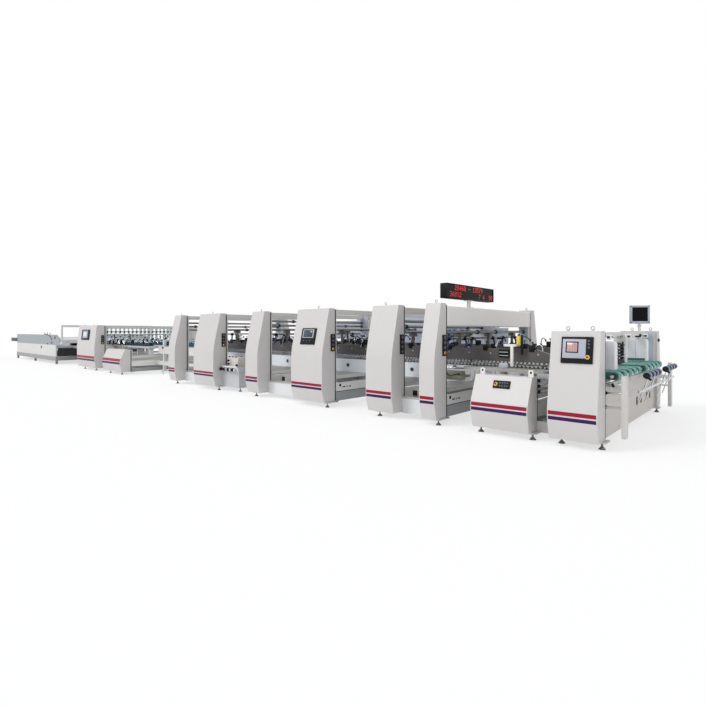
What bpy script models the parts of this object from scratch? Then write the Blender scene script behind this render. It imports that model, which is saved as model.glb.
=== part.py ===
"""A wide box folder gluer line, from the feeder over the folding modules to the delivery.

Metres, +Z up. +X runs along the line towards the feeder, -Y is the operator's side.
Stations are distances along the line, counted from the feeder's front edge towards the delivery.
"""

import math

import bmesh
import bpy
from mathutils import Matrix, Vector

for old in list(bpy.data.objects):
    bpy.data.objects.remove(old, do_unlink=True)

# The line as a whole
SEAT = 0.0003              # gap left between two pieces that rest on each other
PASS_LINE = 0.965          # height at which the blanks travel
HALF_WIDTH = 2.12          # centre line to the widest point of the housings
HOUSING_DEPTH = 0.36       # housing from its back plane to its widest point
FLOOR_CLEARANCE = 0.10     # floor to the underside of the housings
DELIVERY_END = 31.0        # station of the line's last piece

# Housings: the height and the shape of their outer faces
TALL_TOP = 1.95
FEEDER_TOP = 1.50
LOW_TOP = 0.86
CONSOLE_TOP = 1.72
BELLY_LOW = 0.36           # the outer face is upright between these two heights
TALL_BELLY_HIGH = 1.06
FEEDER_BELLY_HIGH = 0.50
CONSOLE_BELLY_HIGH = 0.90
LOW_BELLY_HIGH = 0.46
TALL_TOP_DEPTH = 0.16      # depth of each housing at its top and at its foot
FEEDER_TOP_DEPTH = 0.19
CONSOLE_TOP_DEPTH = 0.27
LOW_TOP_DEPTH = 0.19
FOOT_DEPTH = 0.30
BELLY_ROUND = 1.60         # radius of the bend above the upright stretch
FOOT_ROUND = 0.12          # radius of the bend below it

# Where each housing starts and how long it is, by station
FEEDER_START, FEEDER_LENGTH = 0.06, 0.60
ALIGNER_START, ALIGNER_LENGTH = 0.92, 0.84
PREFOLD_NARROW_START, PREFOLD_NARROW_LENGTH = 2.38, 0.28
PREFOLD_WIDE_START, PREFOLD_WIDE_LENGTH = 3.22, 0.57
LOCK_WIDE_START, LOCK_WIDE_LENGTH = 4.91, 0.92
LOCK_NARROW_START, LOCK_NARROW_LENGTH = 7.00, 0.46
FINAL_WIDE_START, FINAL_WIDE_LENGTH = 8.85, 0.98
FINAL_NARROW_START, FINAL_NARROW_LENGTH = 10.88, 0.38
PRESS_LOW_START, PRESS_LOW_LENGTH = 14.80, 1.62
PRESS_CONSOLE_START, PRESS_CONSOLE_LENGTH = 17.20, 1.95

# Frames behind the housings
POST_DEPTH = 0.08          # across the line
POST_INSET = 0.04          # frame post from each end of its housing
POST_DROP = 0.01           # frame post's top below its housing's top
SILL_WIDTH = 0.14
SILL_BOTTOM = 0.085
SILL_TOP = 0.24
BASE_BEAM = 0.12           # length along the line of the low cross beams
BASE_BEAM_TOP = 0.29       # top of a module's first low cross beam
WHITE_BEAM_BOTTOM = 0.28
WHITE_BEAM_TOP = 0.46
WHITE_BEAM = 0.16
CARRIER_RAIL = 0.08        # square cross rails under the lower carriers
CARRIER_RAIL_TOP = 0.64
TOP_BEAM = 0.10            # square cross beams at the top
ROD_DIAMETER = 0.05        # round cross rods that the tools hang from
ROD_DROP = 0.42            # rod's centre below the housings' top
SLIDE_RODS = 2             # more rods above it, at the second housing
SLIDE_ROD_PITCH = 0.10
ROUND_SIDES = 12
ROD_SIDES = 6              # rods and shafts are hexagonal
ROLLER_SIDES = 6

# Levelling feet
FOOT_PAD_RADIUS = 0.048
FOOT_SIDES = 6
STEM_SIDES = 4
FOOT_PAD_HEIGHT = 0.035
FOOT_NECK_RADIUS = 0.020
FOOT_STEM_RADIUS = 0.014
FOOT_PLATE = 0.018         # bracket plate that a housing rests on
FOOT_PLATE_WIDTH = 0.12
FOOT_OUT = 0.17            # foot's centre outside the housings' back plane
FIRST_FOOT = 0.04          # a module's first foot, from the start of its first housing
LAST_FOOT = 0.17           # its last one, from the end of its last housing
FEEDER_FEET, FEEDER_FOOT_OUT = (0.02, 0.51), 0.07
ALIGNER_FEET, ALIGNER_FOOT_OUT = (0.01, 0.78), 0.14
SILL_LEAD = 0.10           # the aligner's sills start this much before its posts

# Sheet metal guards on the far side, behind the carriers: first and last station, and height
GUARD_THICKNESS = 0.02
GUARD_DEPTH = 0.03         # inside the posts' outer faces
PREFOLD_GUARD_START, PREFOLD_GUARD_HEIGHT, PREFOLD_GUARD_DROP = 2.88, 0.59, 0.01
LOCK_GUARD_HEIGHT, LOCK_GUARD_DROP = 0.53, 0.15

# Step boxes between two housings
STEP_TOP = 0.37
STEP_OUT = 0.05            # outside the housings' back plane
STEP_IN = 0.34             # inside it
STEP_BEAM = 0.11           # square cross beams that lie over the step boxes
STEP_BEAMS = 2

# Gantry over the prefolder, and the display board on it
GANTRY_DROP = 0.04         # gantry's top below the housings' top
GANTRY_HEIGHT = 0.33
GANTRY_ROD_CLEAR = 0.10    # gantry's underside to the centre of the rod under it
GANTRY_WALL_CLEAR = 0.02   # gantry inside the length of its narrow housings
BOARD_LENGTH, BOARD_HEIGHT, BOARD_DEPTH = 1.70, 0.25, 0.10
BOARD_CLEAR = 0.14         # gantry's top to the board's underside
BOARD_FROM_NEAR = 1.00     # board's post from the near end of the gantry
BOARD_POST_RADIUS = 0.035

# Carriers that hold the belts along the line
CARRIER_LINES = (-1.08, 0.0, 1.08)
CARRIER_START, CARRIER_END = 0.82, 11.34
LOWER_PLATE_WIDTH = 0.09
LOWER_PLATE_TOP = PASS_LINE - 0.040
UPPER_PLATE_WIDTH = 0.07
UPPER_PLATE_BOTTOM = PASS_LINE + 0.045
UPPER_PLATE_TOP = PASS_LINE + 0.250
CARRIER_ROLLER_RADIUS = 0.030
CARRIER_ROLLER_PITCH = 1.25
CARRIER_ROLLER_WIDTH = 0.11
HANGER_WIDTH = 0.05
HANGER_BLOCK = 0.11
NOSE_LENGTH = 0.30         # sloping ends of the carriers
NOSE_HEIGHT = 0.10
NIP = 0.008                # from the blanks' plane to the rollers above and below it
ROLLER_END = 0.05          # outermost roller from the carrier's end
NOTCH_STATIONS = (2.08, 4.40, 8.20)          # where one module's lower plates meet the next one's
NOTCH_WIDTH = 0.46
NOTCH_CLEAR = 0.07         # plate left above the notches
UPPER_START = 0.88
UPPER_END_SHORT = 0.10     # upper carriers end this much before the lower ones

# Feeder
FEED_BELTS_A_SIDE = 5
FEED_BELT_WIDTH = 0.16
FEED_BELT_PITCH = 0.30
FEED_BELT_FIRST = 0.26      # middle of the line to the innermost belts
FEED_BELT_HEIGHT = 0.11
FEED_BELT_FRONT = -0.05    # station of the belts' noses
FEED_BELT_REAR = 0.74
FEED_SHAFT_RADIUS = 0.025
FRONT_PANEL_TOP = 0.80
FRONT_PANEL = 0.03
FRONT_SLOT_WIDTH, FRONT_SLOT_HEIGHT = 0.11, 0.14
FRONT_SLOT_Z = 0.38
FRONT_SLOTS = (0.28, 0.58, 1.04, 1.30)       # middle of each slot, across the line
TOP_RAIL_WIDTH, TOP_RAIL_HEIGHT = 0.08, 0.06
GUIDE_WIDTH = 0.16
GUIDE_LENGTH = 0.34
GUIDE_BOTTOM = PASS_LINE + 0.025
GUIDE_TOP = 1.36
GUIDE_NEAR_Y, GUIDE_NEAR_START = -1.40, 0.02
GUIDE_FAR_Y, GUIDE_FAR_START = 1.00, 0.08
GATE_Y = -0.24
GATE_WIDTH = 0.10

# Posts and the roller rack in front of the feeder, which carry the tail of the blanks
RACK_POST_WIDTH, RACK_POST_DEPTH = 0.13, 0.05
RACK_POST_STATION = -0.12
RACK_POST_BOTTOM, RACK_POST_TOP = 0.15, 0.93
RACK_TIE_Z = 0.52
RACK_TIE = 0.025
RACK_TUBE_RADIUS = 0.018
RACK_TUBE_STATION = -0.24
RACK_TUBE_Z = 0.71
RACK_TUBE_HALF = 1.36
RACK_BRACKET = 0.02
RACK_BRACKET_HEIGHT = 0.10
RACK_BRACKET_INSET = 0.06  # tube's end to a bracket's middle
ROLLER_RADIUS, ROLLER_WIDTH = 0.045, 0.17
ROLLER_GROUPS = (-0.86, 0.54)           # middle of each group, across the line
ROLLER_OFFSETS = (-0.36, -0.12, 0.12, 0.36)
ROLLER_ARMS = (-0.24, 0.24)             # each group's arms, from its middle
ROLLER_SHAFT_HALF = 0.50
ROLLER_LEAN = math.radians(18)
ROLLER_ARM_RADIUS = 0.010
ROLLER_ARM_BELOW, ROLLER_ARM_ABOVE = 0.24, 0.22

# Monitor on its pole
MONITOR_WIDTH, MONITOR_HEIGHT, MONITOR_DEPTH = 0.33, 0.32, 0.06
MONITOR_CLEAR = 0.13       # feeder's top to the monitor's underside
MONITOR_SOCKET = 0.05      # length of the swivel under the monitor
MONITOR_Y = 1.15
MONITOR_TURN = math.radians(38)
MONITOR_POLE_RADIUS = 0.022

# Touch panels that lie on sloping housing faces
PANEL_THICKNESS = 0.020
FEEDER_PANEL_WIDTH, FEEDER_PANEL_HEIGHT, FEEDER_PANEL_TOP = 0.38, 0.34, 1.42
LOCK_PANEL_WIDTH, LOCK_PANEL_HEIGHT, LOCK_PANEL_TOP = 0.42, 0.33, 1.55
PRESS_PANEL_WIDTH, PRESS_PANEL_HEIGHT, PRESS_PANEL_TOP = 0.86, 0.40, 1.55

# Aligner's tables between the carriers: middle and half width of each
TABLES = ((-1.41, 0.15), (-0.54, 0.20), (0.54, 0.20), (1.41, 0.15))
TABLE_START, TABLE_END = 0.86, 2.22
TABLE_TOP = PASS_LINE - 0.040
TABLE_THICKNESS = 0.045
TABLE_NOSE = 0.12
TABLE_SLOT = 0.16
TABLE_SLOT_SHIFT = 0.42

# Folding hooks and tool arms that hang from cross rods of their own
HOOK_ROD_RADIUS = 0.018
HOOK_ROD_OFFSET = 0.078    # from the housing's middle, along the line
HOOK_ROD_BELOW = 0.11      # below the rod of the carriers' hangers
HOOK_CLAMP, HOOK_CLAMP_ABOVE = 0.055, 0.044
HOOK_STRAP = 0.034
HOOK_THICKNESS = 0.014
HOOK_SHAPE = ((0.0, 0.03), (0.0, -0.10), (-0.03, -0.19), (-0.11, -0.25), (-0.19, -0.22), (-0.23, -0.14))
ARM_SHAPE = ((0.0, 0.03), (0.05, -0.08), (0.04, -0.16), (-0.04, -0.20), (-0.06, -0.27), (0.02, -0.31))
PREFOLD_HOOKS = (-1.34, -0.78, -0.50, 0.34, 0.80, 1.36)
LOCK_HOOKS = (-1.36, -0.62, 0.40, 1.36)
FINAL_HOOKS = (-1.36, -0.60, 0.60, 1.36)
PRESS_HOOKS = (-1.30, -0.72, 0.0, 0.72, 1.30)

# Adjuster shelf beside the final folder
SHELF_LENGTH = 0.80
SHELF_Z = 0.60
SHELF_THICKNESS = 0.10
SHELF_OUT = 0.10           # pedestal's face outside the housings' back plane
SHELF_IN = 0.24
TANK_LENGTH, TANK_WIDTH, TANK_HEIGHT = 0.50, 0.22, 0.24

# Transfer conveyor
TRANSFER_START, TRANSFER_END = 11.48, 14.66
TRANSFER_HALF_WIDTH = 0.86
TRANSFER_BELTS = (-0.62, 0.0, 0.62)
TRANSFER_BELT_WIDTH = 0.20
TRANSFER_BELT_HEIGHT = 0.15
TRANSFER_RAIL = 0.08
TRANSFER_STAND = 0.09
TRANSFER_SILL_BOTTOM, TRANSFER_SILL_TOP = 0.30, 0.44
TRANSFER_SKIRT_BOTTOM = 0.70
TRANSFER_SKIRT_DROP = 0.01
TRANSFER_PRESS_BOTTOM = PASS_LINE + 0.080
TRANSFER_PRESS_HEIGHT = 0.09
TRANSFER_PRESS_ROLLERS = 3

# Press unit's overhead rails and tools
PRESS_ROD_INSET = 0.22      # front of the console to the cross rods behind it
PRESS_ROD_DROP = 0.24       # rod's centre below the top of the console's posts
PRESS_HOOK_DROP = 0.36
PRESS_BELT_SPACING = 1.00
PRESS_BELT_LINES = (-PRESS_BELT_SPACING, 0.0, PRESS_BELT_SPACING)
PRESS_BELT_INSET, PRESS_BELT_REACH = 0.02, 0.06
PRESS_BELT_HEIGHT = 0.10
PRESS_BELT_LEG = 0.03       # half length of the legs that stand on the rails
PRESS_SHAFT_REACH, PRESS_SHAFT_INSET = 0.30, 0.90
PRESS_RAIL_SHIFT = 0.30
PRESS_FEET_SHARE = 0.32    # feet's distance from the middle, as a share of the housing's length
PRESS_BELT_WIDTH = 0.24

# Delivery
DELIVERY_START = 22.40
DELIVERY_SIDE_END = 29.60
DELIVERY_HALF_WIDTH = HALF_WIDTH - 0.10
DELIVERY_BASE_BOTTOM = 0.15
DELIVERY_BASE_TOP = 0.36
DELIVERY_BASE_WIDTH = 0.12
DELIVERY_SIDE_TOP = 0.86
DELIVERY_COVER_TOP = 1.33
DELIVERY_COVER_START = 21.90
DELIVERY_NOSE_START = 20.55
DELIVERY_NOSE_TOP = 0.98
DELIVERY_WALL = 0.05
DELIVERY_BED_TOP = 0.84
DELIVERY_BED = 0.14
DELIVERY_UPPER_BED = 0.14
DELIVERY_UPPER_CLEAR = 0.10     # side walls' top to the underside of the upper bed
DELIVERY_BRIDGE_START = 19.36
DELIVERY_BRIDGE_HALF = 1.30
DELIVERY_LEG = 1.10              # bridge's front to its legs
DELIVERY_ROLLER_RADIUS = 0.09
DELIVERY_ROLLER_Z = 1.04
PORTAL_TOP = 1.76
PORTAL_STATION = 21.66
PORTAL_WIDTH = 0.09

RACK_REACH = ROLLER_ARM_ABOVE * math.sin(ROLLER_LEAN) + ROLLER_RADIUS - RACK_TUBE_STATION
GANTRY_TOP = TALL_TOP - GANTRY_DROP
GANTRY_BOTTOM = GANTRY_TOP - GANTRY_HEIGHT
BOARD_BOTTOM = GANTRY_TOP + BOARD_CLEAR
LINE_LENGTH = DELIVERY_END + RACK_REACH
LINE_FRONT = LINE_LENGTH / 2 - RACK_REACH    # X of station 0
BACK_PLANE = HALF_WIDTH - HOUSING_DEPTH      # |Y| of the housings' back planes
POST_OUTER = BACK_PLANE - SEAT
NEAR, FAR = -1, 1


def x_at(station):
    """X of a station."""
    return LINE_FRONT - station


# Materials

def material(name, colour, roughness, metallic=0.0):
    made = bpy.data.materials.new(name)
    made.use_nodes = True
    shader = made.node_tree.nodes["Principled BSDF"]
    shader.inputs["Base Color"].default_value = (*colour, 1.0)
    shader.inputs["Roughness"].default_value = roughness
    shader.inputs["Metallic"].default_value = metallic
    made.diffuse_color = (*colour, 1.0)
    return made


WHITE_PAINT = material("white_paint", (0.80, 0.79, 0.77), 0.45)
GREY_PAINT = material("grey_paint", (0.55, 0.57, 0.58), 0.50)
DARK_STEEL = material("dark_steel", (0.16, 0.16, 0.16), 0.45, 0.6)
BRIGHT_STEEL = material("bright_steel", (0.66, 0.67, 0.68), 0.25, 1.0)
GREEN_BELT = material("green_belt", (0.16, 0.45, 0.40), 0.70)
BLUE_ROLLER = material("blue_roller", (0.16, 0.22, 0.45), 0.50)
BLACK_PLASTIC = material("black_plastic", (0.03, 0.03, 0.035), 0.40)


# Solids, each made as a small closed mesh

def closed_mesh(bm):
    bmesh.ops.recalc_face_normals(bm, faces=bm.faces)
    mesh = bpy.data.meshes.new("solid")
    bm.to_mesh(mesh)
    bm.free()
    return mesh


def block(x0, x1, y0, y1, z0, z1):
    """A box between two corners, given in any order."""
    bm = bmesh.new()
    bmesh.ops.create_cube(bm, size=1.0)
    size = (abs(x1 - x0), abs(y1 - y0), abs(z1 - z0))
    bmesh.ops.scale(bm, vec=size, verts=bm.verts)
    middle = ((x0 + x1) / 2, (y0 + y1) / 2, (z0 + z1) / 2)
    bmesh.ops.translate(bm, vec=middle, verts=bm.verts)
    return closed_mesh(bm)


def cone(start, end, start_radius, end_radius, sides=ROUND_SIDES):
    """A round bar or cone between two points."""
    start, end = Vector(start), Vector(end)
    bm = bmesh.new()
    bmesh.ops.create_cone(bm, cap_ends=True, segments=sides, radius1=start_radius, radius2=end_radius,
                          depth=(end - start).length)
    turn = Vector((0, 0, 1)).rotation_difference(end - start).to_matrix().to_4x4()
    bmesh.ops.transform(bm, matrix=Matrix.Translation((start + end) / 2) @ turn, verts=bm.verts)
    return closed_mesh(bm)


def bar(start, end, radius, sides=ROUND_SIDES):
    return cone(start, end, radius, radius, sides)


def rounded(corners, segments=5):
    """Outline through corners (u, v, radius), with an arc at each corner that has a radius."""
    points = []
    for i, (u, v, radius) in enumerate(corners):
        here = Vector((u, v))
        if radius <= 0:
            points.append(here)
            continue
        before = Vector(corners[i - 1][:2]) - here
        after = Vector(corners[(i + 1) % len(corners)][:2]) - here
        half = before.angle(after) / 2
        reach = min(radius / math.tan(half), 0.45 * before.length, 0.45 * after.length)
        first, last = here + before.normalized() * reach, here + after.normalized() * reach
        for k in range(segments + 1):
            t = k / segments
            points.append((1 - t) ** 2 * first + 2 * t * (1 - t) * here + t * t * last)
    return points


def prism(outline, low, high, place):
    """An outline of (u, v) points swept from low to high; place turns (u, v, w) into a point."""
    bm = bmesh.new()
    face = bm.faces.new([bm.verts.new(place(p[0], p[1], low)) for p in outline])
    far_side = Vector(place(0, 0, high)) - Vector(place(0, 0, low))
    swept = bmesh.ops.extrude_face_region(bm, geom=[face])["geom"]
    bmesh.ops.translate(bm, vec=far_side, verts=[v for v in swept if isinstance(v, bmesh.types.BMVert)])
    return closed_mesh(bm)


def ribbon(path, width):
    """Outline of a flat strap of one width along a path of (u, v) points."""
    points = [Vector(p) for p in path]
    left, right = [], []
    for i, here in enumerate(points):
        along = (points[min(i + 1, len(points) - 1)] - points[max(i - 1, 0)]).normalized()
        side = Vector((-along.y, along.x)) * width / 2
        left.append(here + side)
        right.append(here - side)
    return left + right[::-1]


def along_line(u, v, w):
    """Outline in Y and Z, swept along X."""
    return (w, u, v)


def across_line(u, v, w):
    """Outline in X and Z, swept along Y."""
    return (u, w, v)


def upwards(u, v, w):
    """Outline in X and Y, swept along Z."""
    return (u, v, w)


def add_object(name, mesh, finish):
    mesh.name = name
    mesh.materials.clear()
    mesh.materials.append(finish)
    made = bpy.data.objects.new(name, mesh)
    bpy.context.scene.collection.objects.link(made)
    return made


def combine(first, others, operation):
    """The union or difference of closed meshes, as a new mesh."""
    if not others:
        return first
    target = bpy.data.objects.new("target", first)
    bpy.context.scene.collection.objects.link(target)
    group = bpy.data.collections.new("operands")
    bpy.context.scene.collection.children.link(group)
    operands = []
    for mesh in others:
        operand = bpy.data.objects.new("operand", mesh)
        group.objects.link(operand)
        operands.append(operand)
    modifier = target.modifiers.new("combine", "BOOLEAN")
    modifier.operation = operation
    modifier.operand_type = "COLLECTION"
    modifier.collection = group
    modifier.solver = "EXACT"
    bpy.context.view_layer.update()
    evaluated = target.evaluated_get(bpy.context.evaluated_depsgraph_get())
    made = bpy.data.meshes.new_from_object(evaluated)
    for thing in [target, *operands]:
        bpy.data.objects.remove(thing, do_unlink=True)
    bpy.data.collections.remove(group)
    return made


def fuse(name, solids, finish, cutters=()):
    """One object from solids that overlap each other, less the cutters."""
    mesh = combine(solids[0], solids[1:], "UNION")
    mesh = combine(mesh, list(cutters), "DIFFERENCE")
    made = add_object(name, mesh, finish)
    made.data.shade_smooth()
    made.data.set_sharp_from_angle(angle=math.radians(35))
    return made


# Housings

HOUSING_SHAPES = {
    "tall": (TALL_TOP, TALL_BELLY_HIGH, TALL_TOP_DEPTH),
    "feeder": (FEEDER_TOP, FEEDER_BELLY_HIGH, FEEDER_TOP_DEPTH),
    "console": (CONSOLE_TOP, CONSOLE_BELLY_HIGH, CONSOLE_TOP_DEPTH),
    "low": (LOW_TOP, LOW_BELLY_HIGH, LOW_TOP_DEPTH),
}


def housing_outline(shape):
    """Corners of a housing's end face, as (depth outside the back plane, height, radius)."""
    top, belly_high, top_depth = HOUSING_SHAPES[shape]
    return [
        (0.0, FLOOR_CLEARANCE, 0.0),
        (FOOT_DEPTH, FLOOR_CLEARANCE, 0.0),
        (HOUSING_DEPTH, BELLY_LOW, FOOT_ROUND),
        (HOUSING_DEPTH, belly_high, BELLY_ROUND),
        (top_depth, top, 0.0),
        (0.0, top, 0.0),
    ]


def housing(name, side, start, length, shape):
    """A sheet metal housing with a bulging outer face, standing outside the frame on one side."""
    outline = rounded(housing_outline(shape))
    turned = [(side * (BACK_PLANE + depth), z) for depth, z in outline]
    return add_object(name, prism(turned, x_at(start + length), x_at(start), along_line), WHITE_PAINT)


def face_slope(shape):
    """Unit direction up the sloping upper face in (depth, height), and a point on it."""
    top, belly_high, top_depth = HOUSING_SHAPES[shape]
    along = Vector((top_depth - HOUSING_DEPTH, top - belly_high)).normalized()
    return along, Vector((top_depth, top))


def touch_panel(name, shape, middle, width, height, top):
    """A flat operating panel that lies on the sloping face of a near housing."""
    along, corner = face_slope(shape)
    outward = Vector((along.y, -along.x))
    upper = corner - along * ((corner.y - top) / along.y) + outward * SEAT
    lower = upper - along * height
    outline = [upper, upper + outward * PANEL_THICKNESS, lower + outward * PANEL_THICKNESS, lower]
    turned = [(-(BACK_PLANE + depth), z) for depth, z in outline]
    x = x_at(middle)
    return add_object(name, prism(turned, x - width / 2, x + width / 2, along_line), BLACK_PLASTIC)


# Frame pieces

def foot(station, side, out=FOOT_OUT, plane=BACK_PLANE):
    """A levelling foot with its bracket plate, outside a plane on one side of the line."""
    x, y = x_at(station), side * (plane + out)
    plate_top = FLOOR_CLEARANCE - SEAT
    plate_end = y + side * FOOT_PLATE_WIDTH / 2
    half = FOOT_PLATE_WIDTH / 2
    return [
        cone((x, y, 0), (x, y, FOOT_PAD_HEIGHT), FOOT_PAD_RADIUS, FOOT_NECK_RADIUS, FOOT_SIDES),
        bar((x, y, FOOT_PAD_HEIGHT / 2), (x, y, plate_top - FOOT_PLATE / 2), FOOT_STEM_RADIUS,
            STEM_SIDES),
        block(x - half, x + half, side * (plane - SILL_WIDTH / 2), plate_end, plate_top - FOOT_PLATE,
              plate_top),
    ]


def sills(start, end):
    """The long beams on the floor level of both sides."""
    return [
        block(x_at(start), x_at(end), side * POST_OUTER, side * (POST_OUTER - SILL_WIDTH), SILL_BOTTOM,
              SILL_TOP)
        for side in (NEAR, FAR)
    ]


def cross_block(station, length, bottom, top, half_width):
    return block(x_at(station - length / 2), x_at(station + length / 2), -half_width, half_width, bottom,
                 top)


def posts(start, length, top):
    """A pair of frame posts behind the two housings of one station."""
    return [
        block(x_at(start + POST_INSET), x_at(start + length - POST_INSET),
              side * POST_OUTER, side * (POST_OUTER - POST_DEPTH), SILL_BOTTOM, top)
        for side in (NEAR, FAR)
    ]


def step_boxes(start, end):
    """The low boxes between two housings that an operator steps on."""
    return [
        block(x_at(start + SEAT), x_at(end - SEAT), side * (BACK_PLANE + STEP_OUT),
              side * (BACK_PLANE - STEP_IN),
              SILL_BOTTOM, STEP_TOP)
        for side in (NEAR, FAR)
    ]


def cross_rod(station, z, half_width=POST_OUTER - POST_DEPTH / 2):
    x = x_at(station)
    return bar((x, -half_width, z), (x, half_width, z), ROD_DIAMETER / 2, ROD_SIDES)


def two_bay_frame(name, first, second, top, gantry=False, guard=None):
    """Frame of a module with a housing at each end, as (start, length) stations, and a step between."""
    (a, a_length), (b, b_length) = first, second
    inner = POST_OUTER - POST_DEPTH / 2
    a_middle, b_middle = a + a_length / 2, b + b_length / 2
    start, end = a + POST_INSET, b + b_length - POST_INSET
    first_top = GANTRY_BOTTOM - SEAT if gantry else top - POST_DROP
    solids = sills(start, end)
    solids += posts(a, a_length, first_top) + posts(b, b_length, top - POST_DROP)
    solids += step_boxes(a + a_length, b)
    for station, beam_top in ((start + BASE_BEAM / 2, BASE_BEAM_TOP),
                              (end - BASE_BEAM / 2, SILL_TOP - 0.02)):
        solids.append(cross_block(station, BASE_BEAM, SILL_BOTTOM + 0.01, beam_top,
                                  POST_OUTER - SILL_WIDTH / 2))
    for station in (start + WHITE_BEAM / 2, b_middle):
        solids.append(cross_block(station, WHITE_BEAM, WHITE_BEAM_BOTTOM, WHITE_BEAM_TOP, inner))
    for station in (a_middle, b_middle):
        solids.append(cross_block(station, CARRIER_RAIL, CARRIER_RAIL_TOP - CARRIER_RAIL,
                                  CARRIER_RAIL_TOP, inner))
    beam_bottom = top - POST_DROP - TOP_BEAM - 0.01
    tops = [b_middle] if gantry else [start + TOP_BEAM / 2, b_middle]
    for station in tops:
        solids.append(cross_block(station, TOP_BEAM, beam_bottom, beam_bottom + TOP_BEAM, inner))
    rod_z = rod_height(gantry)
    for station in (a_middle, b_middle):
        solids.append(cross_rod(station, rod_z))
    for i in range(SLIDE_RODS):
        solids.append(cross_rod(b_middle, rod_z + (i + 1) * SLIDE_ROD_PITCH))
    gap_start, gap_end = a + a_length, b
    for i in range(STEP_BEAMS):
        station = gap_start + (gap_end - gap_start) * (i + 1) / (STEP_BEAMS + 1)
        solids.append(cross_block(station, STEP_BEAM, STEP_TOP - 0.01, STEP_TOP + STEP_BEAM,
                                  POST_OUTER - POST_DEPTH))
    for station in (a + FIRST_FOOT, b + b_length - LAST_FOOT):
        for side in (NEAR, FAR):
            solids += foot(station, side)
    if guard:
        solids.append(far_guard(*guard))
    return fuse(name, solids, WHITE_PAINT)


def far_guard(start, end, bottom, top):
    """A sheet metal guard that closes the far side between posts."""
    y = POST_OUTER - GUARD_DEPTH
    return block(x_at(start), x_at(end), y - GUARD_THICKNESS, y, bottom, top)


def rod_height(gantry):
    """Height of the cross rods that the upper carriers hang from."""
    return min(TALL_TOP - ROD_DROP, GANTRY_BOTTOM - GANTRY_ROD_CLEAR) if gantry else TALL_TOP - ROD_DROP


# Carriers

def roller_row(start, end, y, z, width):
    """Rollers along a carrier, a pitch apart, from start to end."""
    count = int((end - start) / CARRIER_ROLLER_PITCH) + 1
    rest = (end - start - (count - 1) * CARRIER_ROLLER_PITCH) / 2
    rows = []
    for i in range(count):
        x = x_at(start + rest + i * CARRIER_ROLLER_PITCH)
        rows.append(bar((x, y - width / 2, z), (x, y + width / 2, z), CARRIER_ROLLER_RADIUS,
                        ROLLER_SIDES))
    return rows


def lower_carrier(name, y):
    """A long side plate on the carrier rails, with rollers standing out of its top edge."""
    half = LOWER_PLATE_WIDTH / 2
    bottom = CARRIER_RAIL_TOP + SEAT
    outline = [
        (x_at(CARRIER_START), LOWER_PLATE_TOP - NOSE_HEIGHT),
        (x_at(CARRIER_START), LOWER_PLATE_TOP),
        (x_at(CARRIER_END), LOWER_PLATE_TOP),
        (x_at(CARRIER_END), LOWER_PLATE_TOP - NOSE_HEIGHT),
        (x_at(CARRIER_END - NOSE_LENGTH), bottom),
    ]
    for station in reversed(NOTCH_STATIONS):
        outline += [(x_at(station + NOTCH_WIDTH / 2), bottom),
                    (x_at(station), LOWER_PLATE_TOP - NOTCH_CLEAR),
                    (x_at(station - NOTCH_WIDTH / 2), bottom)]
    outline.append((x_at(CARRIER_START + NOSE_LENGTH), bottom))
    solids = [prism(outline, y - half, y + half, across_line)]
    z = PASS_LINE - NIP - CARRIER_ROLLER_RADIUS
    solids += roller_row(CARRIER_START + ROLLER_END, CARRIER_END - ROLLER_END, y, z, CARRIER_ROLLER_WIDTH)
    return fuse(name, solids, WHITE_PAINT)


def hanger(station, y, rod_z):
    """An arm from an upper carrier to a cross rod, with a clamp block under the rod."""
    x = x_at(station)
    half, block_half = HANGER_WIDTH / 2, HANGER_BLOCK / 2
    seat = rod_z - ROD_DIAMETER / 2 - SEAT
    return [
        block(x - half, x + half, y - half / 2, y + half / 2, UPPER_PLATE_TOP - 0.05, seat - 0.02),
        block(x - block_half, x + block_half, y - block_half, y + block_half, seat - 0.06, seat),
    ]


def upper_carrier(name, y):
    """A long side plate that hangs from the cross rods, with rollers along its lower edge."""
    half = UPPER_PLATE_WIDTH / 2
    top, bottom = UPPER_PLATE_TOP, UPPER_PLATE_BOTTOM
    start, end = UPPER_START, CARRIER_END - UPPER_END_SHORT
    outline = [
        (x_at(start), bottom),
        (x_at(start), bottom + NOSE_HEIGHT),
        (x_at(start + NOSE_LENGTH), top),
        (x_at(end - NOSE_LENGTH), top),
        (x_at(end), bottom + NOSE_HEIGHT),
        (x_at(end), bottom),
    ]
    solids = [prism(outline, y - half, y + half, across_line)]
    z = PASS_LINE + NIP + CARRIER_ROLLER_RADIUS
    solids += roller_row(start + ROLLER_END, end - ROLLER_END, y, z, CARRIER_ROLLER_WIDTH)
    modules = [
        (PREFOLD_NARROW_START + PREFOLD_NARROW_LENGTH / 2, True),
        (PREFOLD_WIDE_START + PREFOLD_WIDE_LENGTH / 2, True),
        (LOCK_WIDE_START + LOCK_WIDE_LENGTH / 2, False),
        (LOCK_NARROW_START + LOCK_NARROW_LENGTH / 2, False),
        (FINAL_WIDE_START + FINAL_WIDE_LENGTH / 2, False),
        (FINAL_NARROW_START + FINAL_NARROW_LENGTH / 2, False),
    ]
    for station, gantry in modules:
        solids += hanger(station, y, rod_height(gantry))
    return fuse(name, solids, DARK_STEEL)


# Folding hooks

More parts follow.
